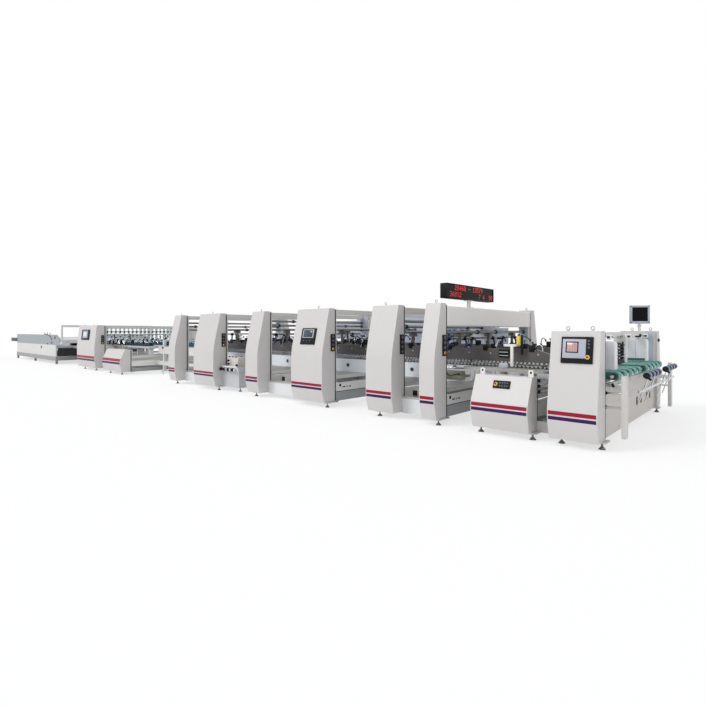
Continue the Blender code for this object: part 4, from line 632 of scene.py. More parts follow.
def treadTree():  # on each point, a field of raised lozenges that lie crosswise by turns
    grow = Growth("treadLozenges", {"Length": "f", "Width": "f", "Pitch": "f", "Rise": "f", "Material": "m"})
    across = grow.maths("DIVIDE", grow.given("Length"), grow.given("Pitch"))
    deep = grow.maths("DIVIDE", grow.given("Width"), grow.given("Pitch"))
    rows = grow.maths("ADD", grow.maths("MULTIPLY", grow.maths("FLOOR", grow.maths("MULTIPLY", deep, 0.5)),
                                        2.0), 1.0)
    grid = grow.node("GeometryNodeMeshGrid", None, {
        "Size X": grow.given("Length"), "Size Y": grow.given("Width"), "Vertices X": across,
        "Vertices Y": rows})
    long = grow.maths("MULTIPLY", grow.given("Pitch"), 0.62)
    short = grow.maths("MULTIPLY", grow.given("Pitch"), 0.2)
    ball = grow.node("GeometryNodeMeshCone", None, {
        "Vertices": 6, "Radius Top": 0.25, "Radius Bottom": 0.5, "Depth": 1.0})
    size = grow.vector(long, short, grow.given("Rise"))
    mark = grow.node("GeometryNodeTransform", None, {0: ball, "Scale": size})
    index = grow.node("GeometryNodeInputIndex")
    odd = grow.maths("MODULO", index, 2.0)
    turn = grow.vector(0.0, 0.0, grow.maths("ADD", grow.maths("MULTIPLY", odd, math.pi / 2), math.pi / 4))
    field = grow.spread(grid, mark, turn)
    return grow.close(grow.spread(grow.start.outputs["Geometry"], field))


trees = {"roller": rollerTree(), "screw": screwTree(), "dot": dotTree(), "tread": treadTree()}


def screws(name, points, way, radius=0.009, height=0.007, finish="zinc"):
    turn = Vector(way).to_track_quat("Z", "Y").to_euler()
    values = {"Radius": radius, "Height": height, "Turn": tuple(turn)}
    return grown(name, trees["screw"], points, values, finish)


# Housing shells: one bent sheet each, with stripes, lifting eyes and an inner cover

shellPlan = {
    "edge": 0.012,  # round edge between the front and the sides
    "footDepth": 0.30,
    "knee": 0.36,  # height of the bend above the foot
    "kneeRound": 0.12,
    "bellyRound": 1.60,
    "kinds": {  # height of the upper bend, and depth at the top
        "feeder_housing": (0.50, 0.19),
        "aligner_housing": (0.46, 0.19),
        "prefold_narrow_housing": (1.06, 0.16),
        "prefold_wide_housing": (1.06, 0.16),
        "lock_wide_housing": (1.06, 0.16),
        "lock_narrow_housing": (1.06, 0.16),
        "final_wide_housing": (1.06, 0.16),
        "final_narrow_housing": (1.06, 0.16),
        "press_low_housing": (0.46, 0.19),
        "press_console": (0.90, 0.27),
    },
    "stripes": {"red": (0.418, 0.468), "navy": (0.352, 0.398)},
    "stripeProud": 0.0016,
    "pressStripes": {"red": (0.458, 0.548), "navy": (0.362, 0.434)},
    "eyes": {  # lifting eyes, as shares of the length from the delivery end
        "feeder_housing": (0.30, 0.80), "press_console": (0.12, 0.62), "prefold_narrow_housing": (0.5,),
        "prefold_wide_housing": (0.4,), "lock_wide_housing": (0.58,), "lock_narrow_housing": (0.5,),
        "final_wide_housing": (0.5,), "final_narrow_housing": (0.62,),
    },
    "eyeRadius": 0.023, "eyeThickness": 0.0068, "eyeNeck": 0.014,
    "stripeSunk": 0.004, "stripeSteps": 6,
}

bays = (("prefold_narrow_housing", "prefold_wide_housing"), ("lock_wide_housing", "lock_narrow_housing"),
        ("final_wide_housing", "final_narrow_housing"))  # the housings on both sides of each step


def shellName(kind, side):
    words = kind.replace("_housing", "").split("_")
    return words[0] + "".join(w.capitalize() for w in words[1:]) + "Shell" + side.capitalize()


def shellBox(kind, side="near"):
    return corners(kind + "_" + side)


def shellOutline(kind, steps=14):
    plan = shellPlan
    low, high = shellBox(kind)
    belly, topDepth = plan["kinds"][kind]
    depth = high.y - low.y
    return bent([
        (0.0, low.z, 0), (plan["footDepth"], low.z, 0), (depth, plan["knee"], plan["kneeRound"]),
        (depth, belly, plan["bellyRound"]), (topDepth, high.z, 0.010), (0.0, high.z, 0)], steps)


def faceDepth(kind, z):  # how far the outer face lies outside the back plane at a height
    outline = [p for p in shellOutline(kind) if p.x > 0]
    for one, two in zip(outline, outline[1:]):
        if one.y <= z <= two.y and two.y > one.y:
            return one.x + (two.x - one.x) * (z - one.y) / (two.y - one.y)
    return outline[-1].x


def makeShells():
    plan = shellPlan
    eyes, neck = Shape(), plan["eyeNeck"]
    stripes = {colour: Shape() for colour in plan["stripes"]}
    for kind in plan["kinds"]:
        for side, sign in sides.items():
            low, high = shellBox(kind, side)
            shell = Shape()
            outline = [(sign * (backPlane + p.x), p.y) for p in shellOutline(kind)]
            shell.slab(outline, low.x, high.x, "X", plan["edge"], 3)
            shell.piece(shellName(kind, side), "shell", "housing_paint", [kind + "_" + side])
            marks = plan["pressStripes"] if kind.startswith("press") else plan["stripes"]
            for colour, (bottom, top) in marks.items():
                steps = plan["stripeSteps"]
                heights = [bottom + (top - bottom) * k / steps for k in range(steps + 1)]
                proud = [(sign * (backPlane + faceDepth(kind, z) + plan["stripeProud"]), z) for z in heights]
                sunk = [(sign * (backPlane + faceDepth(kind, z) - plan["stripeSunk"]), z) for z in heights]
                stripes[colour].slab(proud + sunk[::-1], low.x + 0.010, high.x - 0.012)
            for share in plan["eyes"].get(kind, ()):
                x = low.x + (high.x - low.x) * share
                y = sign * (backPlane + plan["kinds"][kind][1] * 0.5)
                eyes.rod((x, y, high.z - 0.002), (x, y, high.z + 0.006), 0.022, 16, None, 0.002)
                eyes.rod((x, y, high.z), (x, y, high.z + neck), 0.010, 12, 0.008)
                eyes.ring((x, y, high.z + neck + plan["eyeRadius"]), (0.35, 1, 0), plan["eyeRadius"],
                          plan["eyeThickness"])
    eyes.piece("liftingEyes", "zinc")
    stripes["red"].piece("redStripes", "red", "housing_paint")
    stripes["navy"].piece("navyStripes", "navy", "housing_paint")


coverPlan = {"thickness": 0.004, "bottom": 0.50, "inset": 0.044, "drop": 0.015, "frame": 0.082,
             "seam": (0.002, 0.026), "seamWidth": 0.035, "seamLow": 0.12, "seamDrop": 0.03,
             "screwRows": 0.35}  # seams stand behind the back plane, in the open joints between housings


def makeInnerCovers():  # sheets that close the housings' frames on the inside, and the near side's seals
    plan = coverPlan
    sheets, heads = Shape(), {side: [] for side in sides}
    seams = Shape()
    postInner = backPlane - plan["frame"]
    y1, y0 = [depth - backPlane for depth in plan["seam"]][::-1]
    for kind in shellPlan["kinds"]:
        low, high = shellBox(kind)
        for x in (low.x + 0.006, high.x - 0.038):
            seams.block((x, y0, plan["seamLow"]), (x + plan["seamWidth"], y1, high.z - plan["seamDrop"]),
                        0.001, 1)
    seams.piece("housingSeals", "rubber")
    for kind in [k for k in shellPlan["kinds"] if "aligner" not in k and "low" not in k]:
        for side, sign in sides.items():
            low, high = shellBox(kind, side)
            x0, x1 = low.x + plan["inset"], high.x - plan["inset"]
            z0, z1 = plan["bottom"], high.z - plan["drop"]
            inner, outer = sign * (postInner - plan["thickness"]), sign * postInner
            sheets.block((x0, min(inner, outer), z0), (x1, max(inner, outer), z1), 0.0015)
            rows = int((z1 - z0) / plan["screwRows"]) + 1
            for i in range(rows + 1):
                z = z0 + 0.04 + (z1 - z0 - 0.08) * i / rows
                heads[side] += [(x0 + 0.03, inner, z), (x1 - 0.03, inner, z)]
    sheets.piece("innerCovers", "panel", "housing_paint")
    for side, sign in sides.items():
        screws("innerCoverScrews" + side.capitalize(), heads[side], (0, -sign, 0), 0.006, 0.004)


# Local axes on the near side's outer face: X along the line, Y into it, Z up the slope
def onShell(kind, x, z):
    sign = sides["near"]
    step = 0.05
    under = Vector((x, sign * (backPlane + faceDepth(kind, z - step)), z - step))
    over = Vector((x, sign * (backPlane + faceDepth(kind, z + step)), z + step))
    up = (over - under).normalized()
    along = Vector((1, 0, 0))
    inward = up.cross(along)
    spot = Vector((x, sign * (backPlane + faceDepth(kind, z)), z))
    return Matrix.Translation(spot) @ Matrix((along, inward, up)).transposed().to_4x4()


def onSide(x, y, z):  # local axes on a side face that looks along +X: X is across the line
    return Matrix.Translation((x, y, z)) @ Matrix(((0, -1, 0), (1, 0, 0), (0, 0, 1))).to_4x4()


def emergencyStop(collar, cap, place, x, z, radius):
    collar.place = cap.place = place
    collar.rod((x, 0.004, z), (x, -0.008, z), radius * 1.35, 20, None, 0.002)
    cap.rod((x, -0.006, z), (x, -0.026, z), radius * 0.5, 16)
    cap.rod((x, -0.024, z), (x, -0.040, z), radius * 0.8, 20, radius * 0.62, 0.004)


def stopPieces(name, place, x, z, radius):
    collar, cap = shapes(2)
    emergencyStop(collar, cap, place, x, z, radius)
    collar.piece(name + "StopCollar", "yellow", "panel_plastic")
    cap.piece(name + "StopCap", "stop", "panel_plastic")


# Touch panels and control plates

panelPlan = {
    "feeder": {"node": "feeder_touch_panel", "kind": "feeder_housing",
               "bezel": (0.05, 0.79, 0.19, 0.91), "screen": (0.19, 0.525, 0.43, 0.775), "finish": "pink",
               "knobs": [(0.88, 0.84), (0.88, 0.72), (0.88, 0.60)], "stop": (0.85, 0.24)},
    "lock": {"node": "lock_touch_panel", "kind": "lock_wide_housing",
             "bezel": (0.12, 0.88, 0.40, 0.92), "screen": (0.22, 0.78, 0.49, 0.83), "finish": "screen",
             "knobs": [(0.24, 0.22), (0.46, 0.22), (0.66, 0.22)], "stop": None},
    "press": {"node": "press_touch_panel", "kind": "press_console",
              "bezel": (0.18, 0.80, 0.18, 0.90), "screen": (0.26, 0.70, 0.30, 0.80), "finish": "pale",
              "knobs": [(0.86, 0.78), (0.86, 0.58), (0.09, 0.70), (0.09, 0.45)], "stop": None},
}


def makeTouchPanels():
    for name, plan in panelPlan.items():
        low, high = corners(plan["node"])
        middle = (low + high) / 2
        place = onShell(plan["kind"], middle.x, middle.z)
        width = high.x - low.x
        height = (high.z - low.z) / max(0.5, place.col[2].z)
        left, foot = -width / 2, -height / 2

        def spot(u, v):
            return left + u * width, foot + v * height

        def field(u0, u1, v0, v1):
            return *spot(u0, v0), *spot(u1, v1)

        plate, bezel, screen, knobs = shapes(4, place)
        plate.block((left, -0.020, foot), (left + width, 0.004, foot + height), 0.006, 3)
        a, c, b, d = field(*plan["bezel"])
        bezel.block((a, -0.026, c), (b, -0.010, d), 0.005, 3)
        a, c, b, d = field(*plan["screen"])
        rim = Shape(place)
        rim.block((a - 0.014, -0.028, c - 0.014), (b + 0.014, -0.012, d + 0.014), 0.003, 2)
        screen.block((a, -0.0295, c), (b, -0.012, d), 0.002, 2)
        for u, v in plan["knobs"]:
            x, z = spot(u, v)
            knobs.rod((x, -0.018, z), (x, -0.034, z), 0.014, 16, 0.012, 0.002)
            knobs.block((x - 0.003, -0.037, z - 0.012), (x + 0.003, -0.030, z + 0.012), 0.001, 1)
        plate.piece(name + "PanelPlate", "black", "panel_plastic", [plan["node"]])
        bezel.piece(name + "PanelBezel", "bezel", "panel_plastic")
        rim.piece(name + "PanelRim", "black", "panel_plastic")
        screen.piece(name + "PanelScreen", plan["finish"], "panel_plastic")
        knobs.piece(name + "PanelKnobs", "grey", "panel_plastic")
        if plan["stop"]:
            stopPieces(name + "Panel", place @ Matrix.Translation((0, -0.018, 0)), *spot(*plan["stop"]),
                       0.020)


stripPlan = {
    "housings": {"prefold_narrow_housing": True, "prefold_wide_housing": False, "lock_wide_housing": True,
                 "final_wide_housing": True, "press_console": True},
    "from": 0.022, "to": 0.125,  # across, from the back plane
    "low": 1.10, "high": 1.44, "consoleDrop": 0.10,
    "proud": 0.020, "buttons": 4,
}


def makeControlStrips():
    plan = stripPlan
    plates, buttons, collars, caps = shapes(4)
    for kind, hasStop in plan["housings"].items():
        x = shellBox(kind)[1].x
        drop = plan["consoleDrop"] if kind == "press_console" else 0
        y0, y1 = -(backPlane + plan["to"]), -(backPlane + plan["from"])
        z0, z1 = plan["low"] - drop, plan["high"] - drop
        plates.block((x - 0.002, y0, z0), (x + plan["proud"], y1, z1), 0.006, 3)
        middle = (y0 + y1) / 2
        for i in range(plan["buttons"]):
            z = z0 + (z1 - z0) * (i + 0.6) / (plan["buttons"] + 0.2)
            place = onSide(x + plan["proud"], middle, z)
            if i == 0 and hasStop:
                emergencyStop(collars, caps, place, 0, 0, 0.019)
                continue
            buttons.place = place
            buttons.rod((0, 0.003, 0), (0, -0.005, 0), 0.028, 20, None, 0.0015)
            buttons.rod((0, -0.004, 0), (0, -0.012, 0), 0.016, 16, None, 0.002)
    plates.piece("sideStripPlates", "black", "panel_plastic")
    buttons.piece("sideStripButtons", "grey", "panel_plastic")
    collars.piece("sideStripCollars", "yellow", "panel_plastic")
    caps.piece("sideStripCaps", "stop", "panel_plastic")


alignerPlan = {"plateMiddle": 0.51, "plateZ": 0.735, "plateSize": (0.25, 0.115), "lugs": (0.09, 0.95),
               "lugSize": (0.012, 0.070, 0.095)}


def makeAlignerShellParts():
    plan = alignerPlan
    low, high = shellBox("aligner_housing")
    x = low.x + (high.x - low.x) * plan["plateMiddle"]
    place = onShell("aligner_housing", x, plan["plateZ"])
    wide, tall = plan["plateSize"]
    plate, buttons = shapes(2, place)
    plate.block((-wide / 2, -0.014, -tall / 2), (wide / 2, 0.004, tall / 2), 0.004, 3)
    for row in (-0.022, 0.022):
        for i in range(4):
            u = -0.02 + i * 0.036
            buttons.rod((u, -0.012, row), (u, -0.022, row), 0.012, 14, 0.010, 0.0015)
    plate.piece("alignerControlPlate", "black", "panel_plastic")
    buttons.piece("alignerControlButtons", "grey", "panel_plastic")
    stopPieces("aligner", place @ Matrix.Translation((0, -0.012, 0)), -wide * 0.34, 0, 0.021)
    lugs, backs = shapes(2)
    thick, deep, tallLug = plan["lugSize"]
    for side, sign in sides.items():
        low, high = shellBox("aligner_housing", side)
        for share in plan["lugs"]:
            x = low.x + (high.x - low.x) * share
            y = sign * (backPlane + 0.12)
            top, middle = high.z + tallLug, high.z + tallLug * 0.62
            outline = bent([(x - deep / 2, high.z - 0.004, 0), (x + deep / 2, high.z - 0.004, 0),
                            (x + deep / 2, top, 0.020), (x - deep / 2, top, 0.020)], 6)
            ring = [(x + 0.016 * math.cos(a), middle + 0.020 * math.sin(a))
                    for a in (math.tau * k / 12 for k in range(12))]
            lugPlate(lugs, outline, ring, y - thick / 2, y + thick / 2)
            backs.block((x - deep * 0.4, y + thick * 0.5, high.z),
                        (x + deep * 0.4, y + thick * 1.2, top - 0.012), 0.001, 1)
    lugs.piece("alignerLugs", "bright")
    backs.piece("alignerLugBacks", "rubber")


def lugPlate(shape, outline, hole, low, high):  # a plate with one round hole, both as points (x, z)
    mesh = shape.mesh
    loops = []
    for y in (low, high):
        outer = [mesh.verts.new((u, y, v)) for u, v in outline]
        inner = [mesh.verts.new((u, y, v)) for u, v in hole]
        edges = [mesh.edges.new((ring[i], ring[(i + 1) % len(ring)]))
                 for ring in (outer, inner) for i in range(len(ring))]
        bmesh.ops.triangle_fill(mesh, use_beauty=True, edges=edges)
        loops.append((outer, inner))
    for ring in (0, 1):
        one, two = loops[0][ring], loops[1][ring]
        for i in range(len(one)):
            j = (i + 1) % len(one)
            mesh.faces.new((one[i], one[j], two[j], two[i]))


# The display board over the gantry

digitRows = {
    "0": ("01110", "10001", "10011", "10101", "11001", "10001", "01110"),
    "1": ("00100", "01100", "00100", "00100", "00100", "00100", "01110"),
    "2": ("01110", "10001", "00001", "00110", "01000", "10000", "11111"),
    "3": ("11110", "00001", "00001", "01110", "00001", "00001", "11110"),
    "4": ("00010", "00110", "01010", "10010", "11111", "00010", "00010"),
    "5": ("11111", "10000", "11110", "00001", "00001", "10001", "01110"),
    "6": ("00110", "01000", "10000", "11110", "10001", "10001", "01110"),
    "7": ("11111", "00001", "00010", "00100", "01000", "01000", "01000"),
    "8": ("01110", "10001", "10001", "01110", "10001", "10001", "01110"),
    "9": ("01110", "10001", "10001", "01111", "00001", "00010", "01100"),
    "-": ("00000", "00000", "00000", "11111", "00000", "00000", "00000"),
    " ": ("00000",) * 7,
}

boardPlan = {
    "tall": 0.25, "wall": 0.020, "recess": 0.010, "vents": 5, "dot": 0.0052, "pitch": 0.0128,
    "lines": (("   28460 - 13579 ", 0.150), (" 36812        7 4  50", 0.040)),
    "postRadius": 0.036,
}


def makeBoard():
    plan = boardPlan
    low, high = corners("display_board")
    beamTop = corners("gantry_beam")[1].z
    boardLow = Vector((low.x, low.y, high.z - plan["tall"]))
    wall, thick = plan["wall"], plan["recess"]
    case = Shape()
    for y0, y1, z0, z1 in ((low.y, high.y, boardLow.z, boardLow.z + wall),
                           (low.y, high.y, high.z - wall, high.z),
                           (low.y, low.y + wall, boardLow.z, high.z),
                           (high.y - wall, high.y, boardLow.z, high.z)):
        case.block((low.x, y0, z0), (high.x, y1, z1), 0.005, 2)
    for i in range(plan["vents"]):
        z = boardLow.z + 0.05 + i * 0.035
        for y in (low.y, high.y):
            case.block((low.x + 0.02, y - 0.002, z), (high.x - 0.02, y + 0.002, z + 0.008), 0.001, 1)
    case.piece("boardCase", "black", "panel_plastic", ["display_board"])
    window = Shape()
    window.block((low.x + thick, low.y + wall * 0.6, boardLow.z + wall * 0.6),
                 (high.x - thick, high.y - wall * 0.6, high.z - wall * 0.6), 0.003, 1)
    window.piece("boardWindow", "glass", "panel_plastic")
    points = []
    for text, lift in plan["lines"]:
        left = low.y + wall * 1.4
        for letter in text:
            for row, bits in enumerate(digitRows[letter]):
                for column, bit in enumerate(bits):
                    if bit == "1":
                        z = boardLow.z + lift + (6 - row) * plan["pitch"] * 0.92
                        points.append((high.x - thick, left + column * plan["pitch"], z))
            left += 6.1 * plan["pitch"]
    values = {"Radius": plan["dot"], "Depth": 0.003}
    grown("boardDots", trees["dot"], points, values, "led")
    post = Shape()
    x, y = (low.x + high.x) / 2, (low.y + high.y) / 2
    post.rod((x, y, beamTop - 0.002), (x, y, boardLow.z + 0.01), plan["postRadius"], 24)
    post.block((x - 0.07, y - 0.07, beamTop), (x + 0.07, y + 0.07, beamTop + 0.010), 0.003)
    post.block((x - 0.045, y - 0.10, boardLow.z - 0.012), (x + 0.045, y + 0.10, boardLow.z), 0.003)
    post.piece("boardPost", "beam", "frame_paint")
    foot = [(x + a, y + b, beamTop + 0.010) for a in (-0.052, 0.052) for b in (-0.052, 0.052)]
    screws("boardPostScrews", foot, (0, 0, 1), 0.008, 0.006)


# Monitor at the feeder

monitorPlan = {"turn": 38.0, "size": (0.33, 0.06, 0.32), "frame": 0.034, "socket": 0.05}


def makeMonitor():
    plan = monitorPlan
    low, high = corners("monitor")
    middle = (low + high) / 2
    wide, deep, tall = plan["size"]
    base = Matrix.Translation((middle.x, middle.y, high.z - tall / 2))
    place = base @ Matrix.Rotation(math.radians(plan["turn"]), 4, "Z")
    case, glass, arm = shapes(3, place)
    rim, half = plan["frame"], tall / 2
    case.block((-wide / 2, -deep * 0.28, -half), (wide / 2, deep * 0.30, half), 0.008, 3)
    case.block((-wide * 0.36, deep * 0.2, -half * 0.72), (wide * 0.36, deep * 0.5, half * 0.72), 0.010, 3)
    for x0, x1, z0, z1 in ((-wide / 2, wide / 2, half - rim, half),
                           (-wide / 2, wide / 2, -half, -half + rim * 1.25),
                           (-wide / 2, -wide / 2 + rim, -half, half),
                           (wide / 2 - rim, wide / 2, -half, half)):
        case.block((x0, -deep / 2, z0), (x1, -deep * 0.2, z1), 0.006, 2)
    glass.block((-wide / 2 + rim * 0.8, -deep * 0.36, -half + rim),
                (wide / 2 - rim * 0.8, -deep * 0.2, half - rim * 0.8),
                0.002, 1)
    arm.rod((0, 0, -half - plan["socket"]), (0, 0, -half + 0.02), 0.021, 20)
    arm.rod((0, 0, -half - plan["socket"]), (0, 0, -half - plan["socket"] + 0.022), 0.031, 20, None, 0.003)
    arm.block((-0.05, -0.018, -half - 0.004), (0.05, 0.030, -half + 0.012), 0.003)
    case.piece("monitorCase", "bezel", "panel_plastic", ["monitor"])
    glass.piece("monitorGlass", "glass", "panel_plastic")
    arm.piece("monitorSwivel", "zinc")


# Belt carriers: dense rollers, belts, bearing caps, clamp blocks with knobs

carrierPlan = {
    "pitch": 0.064, "radius": 0.0145, "hub": 0.006,
    "upperRow": (1.02, passLine + 0.030), "lowerRow": (0.98, passLine - 0.026),  # first station, axes' Z
    "upperEnd": 11.10, "lowerEnd": 11.20,
    "rollerWidth": 0.113, "hubWidth": 0.119,
    "upperWide": 0.07, "lowerWide": 0.09,
    "beltThickness": 0.005, "beltWidth": 0.046,
    "belts": ((1.00, 11.12, passLine + 0.0055), (0.94, 11.24, passLine - 0.0075)),  # stations and Z
    "blockTop": passLine + 0.25, "blockPitch": (0.16, 0.46),
    "screws": 26, "screwPitch": 0.39,
    "bearings": (1.40, 2.90, 3.50, 5.15, 5.75, 6.55, 7.15, 9.10, 9.90, 10.70), "bearingZ": 0.78,
}


def sparse(station, y, factor):  # fewer fittings towards the feeder and on the near carrier
    return factor if station < 5 or y < -0.5 else 1.0


def makeCarriers():
    plan = carrierPlan
    lines = [corners("upper_carrier_%d" % n) for n in (1, 2, 3)]
    middles = [sum(c.y for c in upper) / 2 for upper in lines]
    for label, (station, z), end in (("upper", plan["upperRow"], plan["upperEnd"]),
                                     ("lower", plan["lowerRow"], plan["lowerEnd"])):
        count = int((end - station) / plan["pitch"]) + 1
        starts = [(at(station), y, z) for y in middles]
        values = {"Count": count, "Pitch": plan["pitch"], "Radius": plan["radius"],
                  "Width": plan["rollerWidth"],
                  "Hub": plan["hub"], "Hub Width": plan["hubWidth"]}
        grown(label + "Rollers", trees["roller"], starts, values, "zinc")
    blocks, knobs = shapes(2)
    top = plan["blockTop"]
    for y in middles:
        station = 1.25
        while station < 11.0:
            x = at(station)
            high = luck.uniform(0.035, 0.085)
            half = luck.uniform(0.035, 0.060)
            blocks.block((x - half, y - 0.052, top - 0.04), (x + half, y + 0.052, top + high), 0.006)
            if luck.random() < 0.6:
                side = luck.choice((-1, 1))
                knobs.rod((x, y + side * 0.05, top + high * 0.4), (x, y + side * 0.085, top + high * 0.4),
                          0.007, 10)
                knobs.rod((x, y + side * 0.082, top + high * 0.4), (x, y + side * 0.108, top + high * 0.4),
                          0.020, 14, 0.017, 0.003)
            if luck.random() < 0.45:
                knobs.rod((x, y, top + high), (x, y, top + high + 0.045), 0.006, 8)
                knobs.rod((x, y, top + high + 0.040), (x, y, top + high + 0.062), 0.018, 14, 0.015, 0.003)
            station += luck.uniform(*plan["blockPitch"]) * sparse(station, y, 2.4)
    blocks.piece("carrierBlocks", "black")
    knobs.piece("carrierKnobs", "black")
    heads = {"near": [], "far": []}
    for y in middles:
        for i in range(plan["screws"]):
            x = at(1.15 + i * plan["screwPitch"])
            for side, sign in sides.items():
                heads[side].append((x, y + sign * plan["upperWide"] / 2, top - 0.08))
    for side, sign in sides.items():
        screws("carrierScrews" + side.capitalize(), heads[side], (0, sign, 0), 0.008, 0.006)
    caps, rims = shapes(2)
    for y in middles:
        for station in plan["bearings"]:
            for sign in (-1, 1):
                face = y + sign * plan["lowerWide"] / 2
                x, z = at(station), plan["bearingZ"]
                rims.rod((x, face - sign * 0.002, z), (x, face + sign * 0.006, z), 0.047, 24, None, 0.002)
                caps.rod((x, face, z), (x, face + sign * 0.010, z), 0.034, 20, None, 0.003)
    rims.piece("carrierBearingRims", "zinc")
    caps.piece("carrierBearingCaps", "dark")
    belts = Shape()
    thick = plan["beltThickness"]
    for y in middles:
        for start, end, z in plan["belts"]:
            outline = bent([(at(start), z, 0.04), (at(end), z, 0.04), (at(end), z + thick, 0.04),
                            (at(start), z + thick, 0.04)], 2)
            belts.slab(outline, y - plan["beltWidth"] / 2, y + plan["beltWidth"] / 2, "Y")
    belts.piece("carrierBelts", "belt", "belt_rubber")


# Feeder: belts with finger plates, and the roller rack

feederPlan = {
    "beltLines": [side * (0.26 + i * 0.30) for side in (-1, 1) for i in range(5)],
    "width": 0.16, "height": 0.11, "front": -0.05, "rear": 0.74, "thickness": 0.008,
    "strap": 0.052, "straps": 2, "strapGap": 0.02, "nose": 0.05, "pulleyIn": 0.06, "pulleyUp": 0.055,
    "fingerStep": 0.15, "fingerHalf": 0.042, "studs": 7, "studPitch": 0.085, "shaftReach": 1.66,
}


def makeFeedBelts():
    plan = feederPlan
    bodies, belts, fingers, pulleys, heads = Shape(), Shape(), Shape(), Shape(), []
    top, bottom = passLine, passLine - plan["height"]
    x1, x0 = at(plan["front"]), at(plan["rear"])
    nose = plan["nose"]
    pulleyX, pulleyZ = (x1 - plan["pulleyIn"], x0 + plan["pulleyIn"]), bottom + plan["pulleyUp"]
    for y in plan["beltLines"]:
        half = plan["width"] / 2
        core = bent([(x0 + 0.012, bottom + 0.01, nose), (x1 - 0.012, bottom + 0.01, nose),
                     (x1 - 0.012, top - 0.010, nose), (x0 + 0.012, top - 0.010, nose)], 8)
        bodies.slab(core, y - half, y + half, "Y", 0.003, 2)
        outer = bent([(x0, bottom, nose + 0.01), (x1, bottom, nose + 0.01), (x1, top, nose + 0.01),
                      (x0, top, nose + 0.01)], 8)
        for i in range(plan["straps"]):
            spot = y + (i - (plan["straps"] - 1) / 2) * (plan["strap"] + plan["strapGap"])
            belts.slab(outer, spot - plan["strap"] / 2, spot + plan["strap"] / 2, "Y", 0.002, 1)
        for sign in (-1, 1):
            face = y + sign * half
            for x in pulleyX:
                pulleys.rod((x, face - sign * 0.004, pulleyZ), (x, face + sign * 0.012, pulleyZ), 0.034, 18,
                            None, 0.003)
    for y in plan["beltLines"]:
        spot = y - plan["fingerStep"] * (1 if y > 0 else -1)
        if abs(spot) < 0.2:  # no finger plate at the middle
            continue
        plate = bent([(x0 + 0.05, top - 0.035, 0), (x1 - 0.10, top - 0.105, 0.02),
                      (x1 - 0.006, top - 0.100, 0.02),
                      (x1 - 0.012, top - 0.050, 0.02), (x1 - 0.09, top - 0.006, 0.03),
                      (x0 + 0.05, top - 0.006, 0.01)], 4)
        fingers.slab(plate, spot - plan["fingerHalf"], spot + plan["fingerHalf"], "Y", 0.003, 1)
        for i in range(plan["studs"]):
            heads.append((x1 - 0.16 - i * plan["studPitch"], spot, top - 0.006))
    bodies.piece("feedBeltBodies", "beltSide", "dark_steel", ["feed_belts"])
    belts.piece("feedBelts", "teal", "belt_rubber")
    fingers.piece("feedFingers", "finger")
    pulleys.piece("feedPulleys", "dark")
    screws("feedFingerStuds", heads, (0, 0, 1), 0.007, 0.003, "dark")
    shaft = Shape()
    for x in pulleyX:
        shaft.rod((x, -plan["shaftReach"], pulleyZ), (x, plan["shaftReach"], pulleyZ), 0.020, 16)
    shaft.piece("feedShafts", "chrome")


rackPlan = {"tubeStation": -0.24, "tubeZ": 0.71, "half": 1.36, "tube": 0.018, "groups": (-0.86, 0.54),
            "offsets": (-0.36, -0.12, 0.12, 0.36), "arms": (-0.24, 0.24), "shaft": 0.50,
            "lean": 18.0, "below": 0.24, "above": 0.22, "arm": 0.0085, "roller": 0.045, "rollerWidth": 0.17,
            "panelStation": 0.10, "bracketInset": 0.06}


